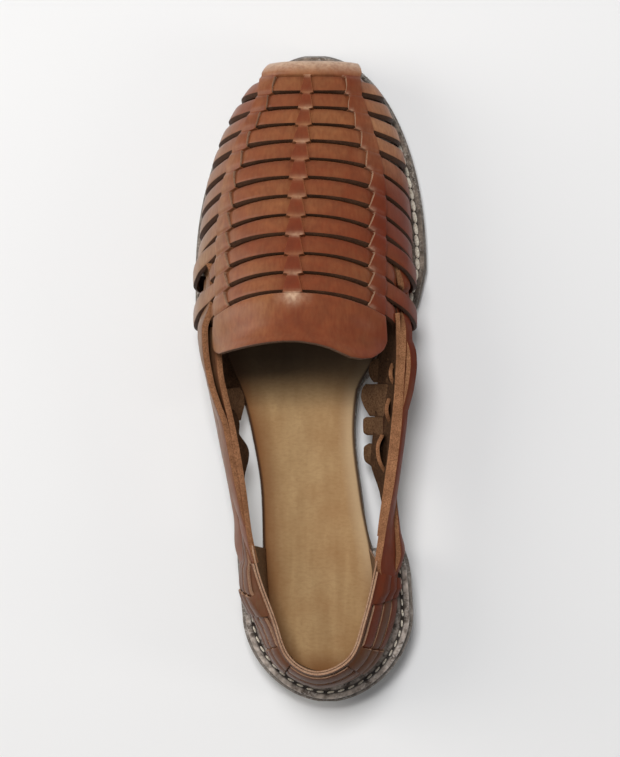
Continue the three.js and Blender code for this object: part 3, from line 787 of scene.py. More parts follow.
heel_path = outline_path(SOLE_EDGE, "heel", HEEL_BREAST[0], HEEL_BREAST[0], inset=0)
print("way round the heel", round(float(walked(heel_path)[-1]), 1), "mm")

# %% Forefoot and heel welts
WELT_ENDS = {"toe": (14, 22), "heel": (-80.5, -80.5)}
WELT_STEP = {"toe": 0.9, "heel": 1.6}
WELT_EDGE = 0.4
SEAM_INSET = {"toe": 4.2, "heel": 4.9}
SEAM_HALF = 1.2


def make_welt(name, cap_name, finish, node, columns=18):
    ends = WELT_ENDS[cap_name]
    outer = outline_path(SOLE_EDGE, cap_name, *ends, WELT_STEP[cap_name])
    inner = outline_path(INSOLE_EDGE, cap_name, *ends, -SEAT_GAP)
    if cap_name == "heel":
        outer, inner = outer[::-1], inner[::-1]
    piece, step, lane = cut_piece(name, len(outer) - 1, columns)
    flat = mix(inner[step], outer[step], (lane / columns)[:, None])
    lay(piece, np.column_stack([flat, welt_top(flat[:, 1])]))
    from_edge = np.linalg.norm(flat - outer[step], axis=1) + WELT_STEP[cap_name]
    mark(piece, "seam", bell(from_edge - SEAM_INSET[cap_name], SEAM_HALF))
    finish_piece(piece, WELT_THICKNESS, WELT_EDGE, [finish], "welt_leather", node)


make_welt("forefoot_welt", "toe", front_welt, "welt_forefoot")
make_welt("heel_welt", "heel", welt_leather, "welt_heel")

# %% [markdown]
# ## The slotted vamp panel
# One piece of calf makes the toe flap, the two rails, the spine between them and the throat flap. It is
# slit beside the rails and the spine, so that each cross strip can dive under them and lie over the
# two columns. The panel's lines are set so that a narrow column of faces lies on each slit: those faces
# are deleted where a strip passes, and stay between two strips, where the panel bridges down to the
# column. The slits slant a little in each row, so the edges step like saw teeth.

# %% Lines of the panel
FIRST_ROW, THROAT_ROW, STRIP_COUNT = 1, 13, 12
PANEL_ROWS = (0, 0.5, 0.9, 1.1, 1.35, 2.2, 3.5, 5, 7, 13, 15, 16.5)
panel_lateral = curve(
    PANEL_ROWS,
    (0.85, 0.64, 0.51, 0.475, 0.43, 0.375, 0.38, 0.42, 0.44, 0.46, 0.55, 0.54),
)
panel_medial = curve(
    PANEL_ROWS,
    (0.85, 0.66, 0.51, 0.45, 0.42, 0.385, 0.4, 0.43, 0.455, 0.45, 0.515, 0.49),
)
slot_lateral = curve(
    (1.5, 2.5, 3.5, 4.5, 5.5, 6.5, 10.5, 12.5),
    (0.268, 0.254, 0.278, 0.312, 0.325, 0.35, 0.358, 0.36),
)
slot_medial = curve(
    (1.5, 2.5, 3.5, 4.5, 5.5, 6.5, 8.5, 12.5),
    (0.278, 0.257, 0.282, 0.31, 0.332, 0.358, 0.36, 0.36),
)
throat_edge = curve(
    (-1, -0.93, -0.83, -0.5, 0, 0.25, 0.45, 0.6, 0.78, 0.9, 1),
    (14.6, 15.2, 15.58, 15.72, 15.62, 15.8, 16.15, 16.35, 16.15, 15.5, 14.4),
)
SPINE_HALF, SLIT_HALF, RAIL_LEAST = 0.0295, 0.0035, 0.05
SLOT_SLANT, SPINE_SLANT = 0.042, 0.020
LANES = (7, 1, 6, 1, 8, 1, 6, 1, 7)
LATERAL_RAIL, SPINE, MEDIAL_RAIL = 0, 4, 8


def split_lanes(counts):
    lanes = np.repeat(np.arange(len(counts)), counts)
    parts = np.concatenate([np.arange(count) / count for count in counts])
    return np.append(lanes, lanes[-1]), np.append(parts, 1)


def panel_knots(row):
    part = row - np.floor(row)
    woven = (row > FIRST_ROW) & (row < THROAT_ROW) & (part > 0)
    slant = np.where(woven, part - 0.5, 0)
    lateral = np.minimum(slot_lateral(row) - SLOT_SLANT * slant, panel_lateral(row) - RAIL_LEAST)
    medial = np.minimum(slot_medial(row) - SLOT_SLANT * slant, panel_medial(row) - RAIL_LEAST)
    spine = SPINE_HALF + SPINE_SLANT * slant
    slits = (-lateral, -spine, spine, medial)
    inner = [slit + side * SLIT_HALF for slit in slits for side in (-1, 1)]
    return np.stack([-panel_lateral(row), *inner, panel_medial(row)], axis=-1)


lane_of, lane_part = split_lanes(LANES)
print("panel lines across:", len(lane_of))

# %% Heights of the panel off the last
PANEL_REST, FLAP_CLIMB = 1.7, 2.6
BAR_TOP, BAR_DIP, GAP_REACH = 4.6, 0.8, 0.13
UNDER_STRIPS = 1.2
TOE_TUCK, TOE_TUCK_ROWS, TOE_CLIMB_ROWS = 0.45, (0.3, 0.8), (0.45, 0.95)
THROAT_FALL_ROWS = (13.2, 14.8)
FLAP_DROP, FLAP_ROUND = 0.9, 0.04


def is_woven(row):
    return (row >= FIRST_ROW) & (row <= THROAT_ROW)


def on_bars(lane, part):
    return (lane % 4 == 0) | ((lane % 4 == 1) & (part == 0)) | ((lane % 4 == 3) & (part == 1))


def flap_height(row):
    tucked = TOE_TUCK * (1 - smooth_step(row, *TOE_TUCK_ROWS))
    toe = (smooth_step(row, *TOE_CLIMB_ROWS) - tucked) * (row < FIRST_ROW)
    throat = (1 - smooth_step(row, *THROAT_FALL_ROWS)) * (row >= THROAT_ROW)
    edge = np.minimum(np.abs(row - FIRST_ROW), np.abs(row - THROAT_ROW))
    return PANEL_REST + FLAP_CLIMB * (toe + throat) - FLAP_DROP * bell(edge, FLAP_ROUND)


def panel_height(row, on_bar):
    to_gap = np.abs(row - np.round(row))
    bar = BAR_TOP - BAR_DIP * bell(to_gap, GAP_REACH)
    return np.where(is_woven(row), np.where(on_bar, bar, UNDER_STRIPS), flap_height(row))


print("a rail stands", BAR_TOP, "mm off the last, a column", UNDER_STRIPS, "mm")

# %% Cut and last the panel
ROW_LINES = np.array([0, 0.03, 0.055, 0.11, 0.2, 0.35, 0.5, 0.65, 0.8, 0.89, 0.945, 0.97])
TOE_EDGE_LINES, THROAT_START_LINES = (0.935, 0.96, 0.975, 0.99), (0, 0.004, 0.008, 0.014, 0.025)
LIP_RISE, LIP_FROM = 1.2, 0.75
TOE_BOW, TOE_WIDEN, TOE_SPREAD_ROWS = 0.8, 0.08, (0.6, 1.0)
toe_lines = np.concatenate([np.linspace(0, 0.9, 16), TOE_EDGE_LINES])
woven_lines = (np.arange(FIRST_ROW, THROAT_ROW)[:, None] + ROW_LINES).ravel()
throat_lines = THROAT_ROW + np.concatenate([THROAT_START_LINES, np.linspace(0.04, 1, 22)])
panel_lines = np.concatenate([toe_lines, woven_lines, throat_lines])
panel_columns = len(lane_of) - 1
panel, column, line_number = cut_piece("vamp_panel", panel_columns, len(panel_lines) - 1)
from_lateral = panel_columns - column
lane, part = lane_of[from_lateral], lane_part[from_lateral]
line = panel_lines[line_number]
woven_line = np.minimum(line, THROAT_ROW)
knots = panel_knots(woven_line)
vertex = np.arange(len(line))
edge_part = mix(knots[vertex, lane], knots[vertex, lane + 1], part)
share = edge_part / np.where(edge_part < 0, panel_lateral(woven_line), panel_medial(woven_line))
row = woven_line + (line - woven_line) * (throat_edge(share) - THROAT_ROW)
across = share * np.where(share < 0, panel_lateral(row), panel_medial(row))
lip = smooth_step(line, THROAT_ROW + LIP_FROM, THROAT_ROW + 1) * (1 - share**4)
height = panel_height(row, on_bars(lane, part)) + LIP_RISE * lip
points = lifted(last_point, row, across, height)
on_toe = 1 - smooth_step(row, *TOE_SPREAD_ROWS)
points[:, 1] += on_toe * (ridge_drop(row) - TOE_BOW) * across**2
points[:, 0] *= 1 + TOE_WIDEN * on_toe
lay(panel, points)
print("panel has", len(panel_lines), "lines along and", len(line), "vertices")

# %% [markdown]
# ## Painted light and shade on the panel
# The panel is painted pale where light would catch it: on the toe flap as a reflection, on the spine's
# end, where a real scuff adds to the glare, on the spine near the row ends, and at the corners of the
# slits, where wear adds to the glints. It is painted deeper red as shade along the rails and in the
# middle of each spine piece. All of it is written into each vertex as attributes, which the calf reads.
# Painting it on a picture would need a flat map of the panel first.

# %% Pale, red and polished places
# Reaches and amounts of the panel's painted highlights and painted shade.
PALE_REACH = 0.12
SCUFF_GLARE_START, SCUFF_GLARE_REACH = 0.2, 0.38
SPINE_GLINT, SPINE_VARIES, SPINE_TURN, SPINE_SIDES = 0.28, 0.2, 2.7, (0.45, 1.3)
WEAR_GLINT_REACH, WEAR_GLINT_LATERAL, WEAR_GLINT_MEDIAL = 0.02, 0.05, 0.45
TOE_SHEEN_ROWS = (0.72, 1.02)
MEDIAL_RAIL_SHADE, LATERAL_RAIL_SHADE, GAP_SHADE = 0.9, 0.8, 0.5
POLISHED_FROM = 0.94
woven = is_woven(row)
on_spine = woven & (lane == SPINE)
on_rail = woven & np.isin(lane, (LATERAL_RAIL, MEDIAL_RAIL))
at_gap = bell(row - np.round(row), PALE_REACH)
# Pale patch at the spine's end: partly a real scuff, partly painted glare.
scuff_and_glare = bell(row - THROAT_ROW - SCUFF_GLARE_START, SCUFF_GLARE_REACH) * bell(across, SPINE_HALF)
spine_end = np.where(row >= THROAT_ROW, scuff_and_glare, 0)
# Painted highlights on the spine near each row's end, stronger toward its medial side.
spine_glint = (SPINE_GLINT + SPINE_VARIES * np.sin(SPINE_TURN * np.round(row))) * mix(*SPINE_SIDES, part)
# Pale at the corners of the slits: partly wear, partly painted glints, strongest on the medial side.
corner_lateral = WEAR_GLINT_LATERAL * bell(across + slot_lateral(row), WEAR_GLINT_REACH)
corner_medial = WEAR_GLINT_MEDIAL * bell(across - slot_medial(row), WEAR_GLINT_REACH)
# Together these are painted highlights with some wear, shown only near the row ends.
worn = np.where(on_spine, spine_glint, 0) + np.where(on_rail, corner_lateral + corner_medial, 0)
# Painted reflection: the toe flap is painted pale.
toe_sheen = 1 - smooth_step(row, *TOE_SHEEN_ROWS)
mark(panel, "pale", worn * at_gap + toe_sheen + spine_end)
# Painted shade: the rails are painted deeper red toward the slits and at the dips between rows, and the
# medial rail all over.
lateral_rail_shade = LATERAL_RAIL_SHADE * part**3 + GAP_SHADE * part * at_gap
rail_shade = np.where(lane == MEDIAL_RAIL, MEDIAL_RAIL_SHADE, np.where(lane == LATERAL_RAIL, lateral_rail_shade, 0))
# On the spine, painted shade deepens the red in the middle of each piece, away from the row ends.
mark(panel, "tone_and_shade", np.where(on_spine, 1 - at_gap, np.where(woven, rail_shade, 0)))
mark(panel, "edge_polish", smooth_step(line, THROAT_ROW + POLISHED_FROM, THROAT_ROW + 1))
print("the spine's end is", float(spine_end.max().round(2)), "pale")

# %% Slit and finish the panel
STRIP_PART = 0.89
PANEL_WALL, PANEL_EDGE = 1.8, 0.3
BURNISHED_FROM = 0.9


def is_slit(face_column, face_row):
    face_lane = lane_of[panel_columns - 1 - face_column]
    middle = (panel_lines[face_row] + panel_lines[face_row + 1]) / 2
    to_gap = np.abs(middle - np.round(middle))
    return (face_lane % 2 == 1) & is_woven(middle) & (to_gap > (1 - STRIP_PART) / 2)


cut_slots(panel, panel_columns, is_slit)
finish_piece(panel, PANEL_WALL, PANEL_EDGE, [calf, pale_edge, flesh_side], *WEAVE)
panel.data.materials.append(burnished_edge)
throat_y = (ridge_y(THROAT_ROW + BURNISHED_FROM) + zero[1]) * MM
for face in panel.data.polygons:
    if face.material_index == RIM_SLOT and face.center.y < throat_y:
        face.material_index = len(panel.data.materials) - 1

# %% [markdown]
# ## The toe lining
# Under the flap and the first strip a plain piece of calf closes the toe. It lies just under the last's
# surface, below the strips, so only slivers of it show from the front. A grid laid on the same last
# follows the flap without being fitted to it.

# %% Toe lining
TOE_LINING_ROWS, TOE_LINING_REACH, TOE_LINING_LIFT = (0.05, 1.6), 0.96, -0.6
TOE_LINING_WALL, TOE_LINING_EDGE, TOE_LINING_TONE = 1.2, 0.2, 0.6
toe_columns, toe_rows = 40, 14
toe_lining, step, lane = cut_piece("toe_lining", toe_columns, toe_rows)
row = mix(*TOE_LINING_ROWS, lane / toe_rows)
across = TOE_LINING_REACH * (1 - 2 * step / toe_columns)
lay(toe_lining, lifted(last_point, row, across, np.full(len(row), TOE_LINING_LIFT)))
mark(toe_lining, "tone_and_shade", np.full(len(row), TOE_LINING_TONE))
finish_piece(toe_lining, TOE_LINING_WALL, TOE_LINING_EDGE, [calf, dark_edge, flesh_side], *WEAVE)

# %% [markdown]
# ## Cross strips
# Twelve strips run from welt to welt. Each is one straight strip of calf, so it is cut as one long grid.
# It lies low under the rails and the spine, rises over the two columns, and is let down on the last at
# the sides, where the last four go over and under the side straps. Its rear edge is rolled down and
# dyed dark, which draws the lines between the strips, and each strip has its own slight lean, because
# hands pulled them tight one after another.

# %% Heights of a strip
STRIP_UNDER, STRIP_OVER, STRIP_SIDE = 2.6, 3.5, 2.2
DIVE, SIDE_EASE = 0.022, 0.16
OVER_STRAP, OVER_RISE, OVER_FROM, OVER_TO = (8, 10), 2.2, (0.46, 0.66), (0.8, 1.02)
UNDER_STRAP, UNDER_SINK, UNDER_FROM, OUT_AGAIN = (9, 11), 4.0, (0.52, 0.7), (0.74, 0.9)


def strip_height(middle, across):
    outer = np.where(across < 0, panel_lateral(middle), panel_medial(middle))
    slot = np.where(across < 0, slot_lateral(middle), slot_medial(middle))
    reach = np.abs(across)
    past_spine = smooth_step(reach, SPINE_HALF - DIVE, SPINE_HALF + DIVE)
    over = past_spine * (1 - smooth_step(reach, slot - DIVE, slot + DIVE))
    height = mix(STRIP_UNDER, STRIP_OVER, over)
    return mix(height, STRIP_SIDE, smooth_step(reach, outer, outer + SIDE_EASE))


def strap_rise(number, across):
    reach = np.abs(across)
    if number in UNDER_STRAP:
        return -UNDER_SINK * smooth_step(reach, *UNDER_FROM) * (1 - smooth_step(-across, *OUT_AGAIN))
    if number in OVER_STRAP:
        return OVER_RISE * smooth_step(reach, *OVER_FROM) * (1 - smooth_step(reach, *OVER_TO))
    return 0 * reach


print("a strip lies", STRIP_OVER, "mm off the last on a column and", STRIP_UNDER, "mm under a rail")

# %% One cross strip
STRIP_WALL, STRIP_EDGE = 1.9, 0.2
LATERAL_WIDTH, MEDIAL_WIDTH, TIGHT_WIDTH = 8.6, 8.2, 10.6
TIGHT_FROM, OPEN_MEDIAL = 4, 7
WELT_REACH, TUCKED_REACH = 1.03, 0.84
LANE_SIDES = np.array([-1, -0.9, -0.5, 0, 0.4, 0, 1])
STRIP_ROLL, EDGE_DROP = 0.35, 1.3
ROLL_POWER, POLISH_POWER = 5, 6
EDGE_NEAR_SPINE, EDGE_OUTSIDE, EDGE_TIGHT = 0.20, 0.40, 0.18
EDGE_VARIES, EDGE_TURN = 0.2, 2.4
OUTSIDE_FROM, TIGHT_MEDIAL, TIGHT_LATERAL = (0.05, 0.42), (0.40, 0.46), (0.44, 0.56)
RIPPLE, RIPPLE_TURN, RIPPLE_SHIFT = 0.12, 9, 2.1
STRIP_TONE, TONE_TURN = 0.2, 1.9
LEAN_FROM = (0.45, 0.95)
LATERAL_LEAN = (0.0, 0.0, 0.02, -0.06, 0.05, 0.02, -0.07, 0.2, 0.14, 0.10, 0.06, 0.0)
MEDIAL_LEAN = (-0.08, -0.14, -0.14, -0.12, 0.12, 0.06, 0.03, -0.02, 0.10, 0.06, 0.02, 0.0)


def shown_edge(number, across):
    edge = mix(EDGE_NEAR_SPINE, EDGE_OUTSIDE, smooth_step(np.abs(across), *OUTSIDE_FROM))
    if number >= TIGHT_FROM and number != OPEN_MEDIAL:
        edge = mix(edge, EDGE_TIGHT, smooth_step(across, *TIGHT_MEDIAL))
    if number in OVER_STRAP:
        edge = mix(edge, EDGE_TIGHT, smooth_step(-across, *TIGHT_LATERAL))
    return edge * (1 + EDGE_VARIES * math.sin(EDGE_TURN * number + 1))


def make_strip(number, columns=170, rows=6):
    piece, step, lane = cut_piece(f"cross_strip_{number + 1:02d}", columns, rows)
    middle = FIRST_ROW + number + 0.5
    medial_reach = TUCKED_REACH if number in UNDER_STRAP else WELT_REACH
    lateral_reach = TUCKED_REACH if number == UNDER_STRAP[-1] else WELT_REACH
    across = mix(medial_reach, -lateral_reach, step / columns)
    side = np.where(lane == rows - 1, 1 - shown_edge(number, across), LANE_SIDES[lane])
    pitch = np.linalg.norm(last_point(middle + 0.5, across) - last_point(middle - 0.5, across), axis=1)
    medial_width = TIGHT_WIDTH if number >= TIGHT_FROM else MEDIAL_WIDTH
    half = np.minimum(STRIP_PART, np.where(across < 0, LATERAL_WIDTH, medial_width) / pitch) / 2
    lean = np.where(across < 0, LATERAL_LEAN[number], MEDIAL_LEAN[number])
    row = middle + half * side + lean * smooth_step(np.abs(across), *LEAN_FROM)
    ripple = RIPPLE * np.sin(RIPPLE_TURN * across + RIPPLE_SHIFT * number)
    height = strip_height(middle, across) + strap_rise(number, across) + ripple
    height = height - STRIP_ROLL * np.abs(side) ** ROLL_POWER - EDGE_DROP * (lane == rows)
    lay(piece, lifted(last_point, row, across, height))
    mark(piece, "edge_polish", np.abs(side) ** POLISH_POWER)
    mark(piece, "tone_and_shade", np.full(len(side), STRIP_TONE + STRIP_TONE * math.sin(TONE_TURN * number**1.5)))
    face_row = np.arange(columns * rows) // columns
    piece.data.polygons.foreach_set("material_index", (face_row == rows - 1).astype(np.int32))
    finish_piece(piece, STRIP_WALL, STRIP_EDGE, [calf, dark_edge, flesh_side], *WEAVE)


for number in range(STRIP_COUNT):
    make_strip(number)

# %% [markdown]
# ## The slotted heel counter
# The counter is made as the vamp is: a slotted shell with four straps woven through it. Here the bars
# stand upright, and the straps show in the windows between them, on both sides and at the back. The
# shell's top edge is the collar, and its pale cut edge shows from above. Low down the shell is tucked in
# to meet the welt, and it swells a little at both front ends, where the side straps join it.

# %% Lines and outline of the counter
COUNTER_ENDS = (5.0, 10.95)
COUNTER_SLITS = (5.04, 5.5, 5.95, 6.65, 7.2, 8.8, 9.35, 10.3)
COUNTER_SLIT_HALF = 0.012
COUNTER_LANES = (2, 1, 8, 1, 7, 1, 14, 1, 8, 1, 22, 1, 8, 1, 16, 1, 9)
COUNTER_STRAPS, STRAP_FOOT, STRAP_PITCH, STRAP_HEIGHT = 4, 0.05, 0.225, 0.185
BAND_LINES = np.array([-0.012, 0.0, 0.05, 0.0925, 0.135, 0.185, 0.197])
FOOT_LINES, COLLAR_LINES = (0.0, 0.02), (0.94, 0.96, 0.98, 1.0)
SIDE_TUCK, SIDE_TUCK_TOP = 3.0, 0.32
BACK_TUCK, BACK_TUCK_TOP, BACK_REACH = 3.6, 0.6, 1.0
LATERAL_SWELL, SWELL_REACH, MEDIAL_SWELL, SWELL_EASE = 3.6, 0.5, 1.8, 0.3


def foot_tuck(station, up):
    back = bell(station - BACK_STATION, BACK_REACH)
    side_tuck = SIDE_TUCK * (1 - smooth_step(up, 0.0, SIDE_TUCK_TOP))
    back_tuck = BACK_TUCK * (1 - smooth_step(up, 0.0, BACK_TUCK_TOP))
    lateral = LATERAL_SWELL * bell(station - COUNTER_SLITS[1], SWELL_REACH)
    medial = MEDIAL_SWELL * smooth_step(station, COUNTER_SLITS[-1], COUNTER_SLITS[-1] + SWELL_EASE)
    return mix(side_tuck, back_tuck, back) - lateral - medial


counter_slit_lines = [slit + side * COUNTER_SLIT_HALF for slit in COUNTER_SLITS for side in (-1, 1)]
counter_knots = np.array([COUNTER_ENDS[0], *counter_slit_lines, COUNTER_ENDS[1]])
strap_lows = STRAP_FOOT + STRAP_PITCH * np.arange(COUNTER_STRAPS)
band_middle = strap_lows + STRAP_HEIGHT / 2
band_lines = (strap_lows[:, None] + BAND_LINES).ravel()
shell_lines = np.unique(np.concatenate([FOOT_LINES, band_lines, COLLAR_LINES]))
shell_lane_of, shell_lane_part = split_lanes(COUNTER_LANES)
print("counter has", len(COUNTER_SLITS), "slits and", len(shell_lines), "lines up")

# %% The counter's shell
SHELL_WALL, SHELL_EDGE = 1.0, 0.3
SHELL_BAR, SHELL_UNDER, COLLAR_OUT, FOOT_OUT = 3.8, 1.0, 2.6, 1.6
BAR_SAG, SAG_FROM, COLLAR_FROM = 0.7, (0.6, 1.0), (0.92, 0.95)
FRONT_EDGE_LEAN = 0.45
FRONT_RED, FRONT_RED_FROM = 1.3, (10.1, 10.3)
shell_columns = len(shell_lane_of) - 1
shell, column, line_number = cut_piece("counter_shell", shell_columns, len(shell_lines) - 1)
lane, part = shell_lane_of[column], shell_lane_part[column]
station = mix(counter_knots[lane], counter_knots[lane + 1], part)
up = shell_lines[line_number]
on_bar = on_bars(lane, part) & (station > COUNTER_SLITS[0])
from_band = np.abs(up[:, None] - band_middle).min(axis=1) / (STRAP_PITCH / 2)
bar_out = SHELL_BAR - BAR_SAG * smooth_step(from_band, *SAG_FROM)
collar = smooth_step(up, *COLLAR_FROM)
out = mix(np.where(on_bar, bar_out, SHELL_UNDER), COLLAR_OUT, collar)
out = mix(out, FOOT_OUT, smooth_step(up, STRAP_FOOT + BAND_LINES[0], 0.0))
out = out - foot_tuck(station, up) * (1 - collar)
station = station - FRONT_EDGE_LEAN * (1 - up) * smooth_step(station, COUNTER_SLITS[-1], COUNTER_ENDS[1])
mark(shell, "tone_and_shade", FRONT_RED * smooth_step(station, *FRONT_RED_FROM))
lay(shell, wall_lifted(station, up, out))


def is_counter_slit(face_column, face_row):
    middle = (shell_lines[face_row] + shell_lines[face_row + 1]) / 2
    in_band = (np.abs(middle[:, None] - band_middle) < STRAP_HEIGHT / 2).any(axis=1)
    return (shell_lane_of[face_column] % 2 == 1) & in_band


cut_slots(shell, shell_columns, is_counter_slit)
finish_piece(shell, SHELL_WALL, SHELL_EDGE, [counter_calf, pale_edge, flesh_side], *WEAVE)

# %% [markdown]
# ## Counter straps
# Each strap runs round the heel, under the bars and over the windows. Past the counter's lateral front
# edge the straps run on for a few centimetres and close up like a fan, where they join the side straps.
# One grid for each strap lets it dive and rise along its whole way without a join.

# %% Straps round the counter
STRAP_WALL, STRAP_EDGE_WIDTH, STRAP_ROLL = 1.7, 0.25, 0.3
STRAP_OVER, STRAP_UNDER = 3.1, 1.95
STRAP_DIVE = 0.07
STRAP_RED, RED_FROM = (0.3, 0.8, 0.1, 1.1), (9.0, 9.6)
STRAP_ENDS = (4.0, 10.6)
FAN_FREE, FAN_TUCK = 4.75, -1.5
FAN_START, FAN_MIDDLE, FAN_STEP, FAN_NARROW = 5.3, 0.42, 0.06, 0.3


def window_part(station):
    pairs = zip(COUNTER_SLITS[0::2], COUNTER_SLITS[1::2])
    return sum(
        smooth_step(station, low - STRAP_DIVE, low + STRAP_DIVE)
        * (1 - smooth_step(station, high - STRAP_DIVE, high + STRAP_DIVE))
        for low, high in pairs
    )


def make_counter_strap(number, columns=150, rows=6):
    piece, step, lane = cut_piece(f"counter_strap_{number + 1}", columns, rows)
    station = mix(*STRAP_ENDS, step / columns)
    side = np.sin((lane / rows - 0.5) * math.pi)
    past = 1 - smooth_step(station, STRAP_ENDS[0], FAN_START)
    middle = mix(band_middle[number], FAN_MIDDLE + FAN_STEP * number, past)
    up = middle + side * STRAP_HEIGHT / 2 * mix(1, FAN_NARROW, past)
    out = mix(STRAP_UNDER, STRAP_OVER, window_part(station)) - STRAP_ROLL * np.abs(side) ** ROLL_POWER
    hidden = 1 - smooth_step(station, STRAP_ENDS[0], FAN_FREE)
    out = mix(out - foot_tuck(station, up), FAN_TUCK, hidden)
    mark(piece, "edge_polish", np.abs(side) ** POLISH_POWER)
    mark(piece, "tone_and_shade", STRAP_RED[number] * smooth_step(station, *RED_FROM))
    lay(piece, wall_lifted(station, up, out))
    finish_piece(piece, STRAP_WALL, STRAP_EDGE_WIDTH, [counter_calf, pale_edge, flesh_side], *WEAVE)


for number in range(COUNTER_STRAPS):
    make_counter_strap(number)

# %% [markdown]
# ## Counter lining
# Inside the heel a smooth brown lining runs from the edge of the insole up to the collar. Its cut edge
# stands beside the shell's, with a thin dark groove between, so the collar shows two pale lines. It is
# a grid between the insole's outline and the collar, matched by the part of the way round the heel.

# %% Counter lining
COUNTER_LINING_ENDS, COUNTER_LINING_TOP, COUNTER_LINING_OUT = (4.75, 11.1), 0.985, 1.25
COUNTER_LINING_WALL, COUNTER_LINING_EDGE = 0.9, 0.2


def way_round(path):
    gone = walked(path)
    return gone / gone[-1]


def make_counter_lining(columns=90, rows=8):
    piece, step, lane = cut_piece("counter_lining", columns, rows)
    stations = np.linspace(*COUNTER_LINING_ENDS, columns + 1)
    level = np.full(columns + 1, COUNTER_LINING_TOP)
    top = wall_lifted(stations, level, np.full(columns + 1, COUNTER_LINING_OUT))
    edge = outline_path(INSOLE_EDGE, "heel", HEEL_BREAST[1], HEEL_BREAST[1], SEAT_GAP)
    x, y = (np.interp(way_round(top), way_round(edge), edge[:, axis]) for axis in (0, 1))
    foot = np.stack([x, y, insole_top(y) + SEAT_GAP], axis=-1)
    lay(piece, mix(foot[step], top[step], (lane / rows)[:, None]))
    finishes = [lining_leather, pale_edge, lining_leather]
    finish_piece(piece, COUNTER_LINING_WALL, COUNTER_LINING_EDGE, finishes, *WEAVE)


make_counter_lining()

# %% [markdown]
# ## Side straps
# Straps cross the open waist on each side, from the vamp to the counter. They are thick, their top
# edges are raw, and they lie in layers: an upper strap outside, an inner one behind it that leans in
# toward the sole, and a lower one. The lateral lower strap's edge is given the dark cut edge as painted
# shade. At the front they are woven over and under the last four cross strips. An entry of the table
# has the strap's thickness, the finish of its edge, and rows along its way: from which part of the
# wall's height to which, how far out the top lies, and how far it leans.

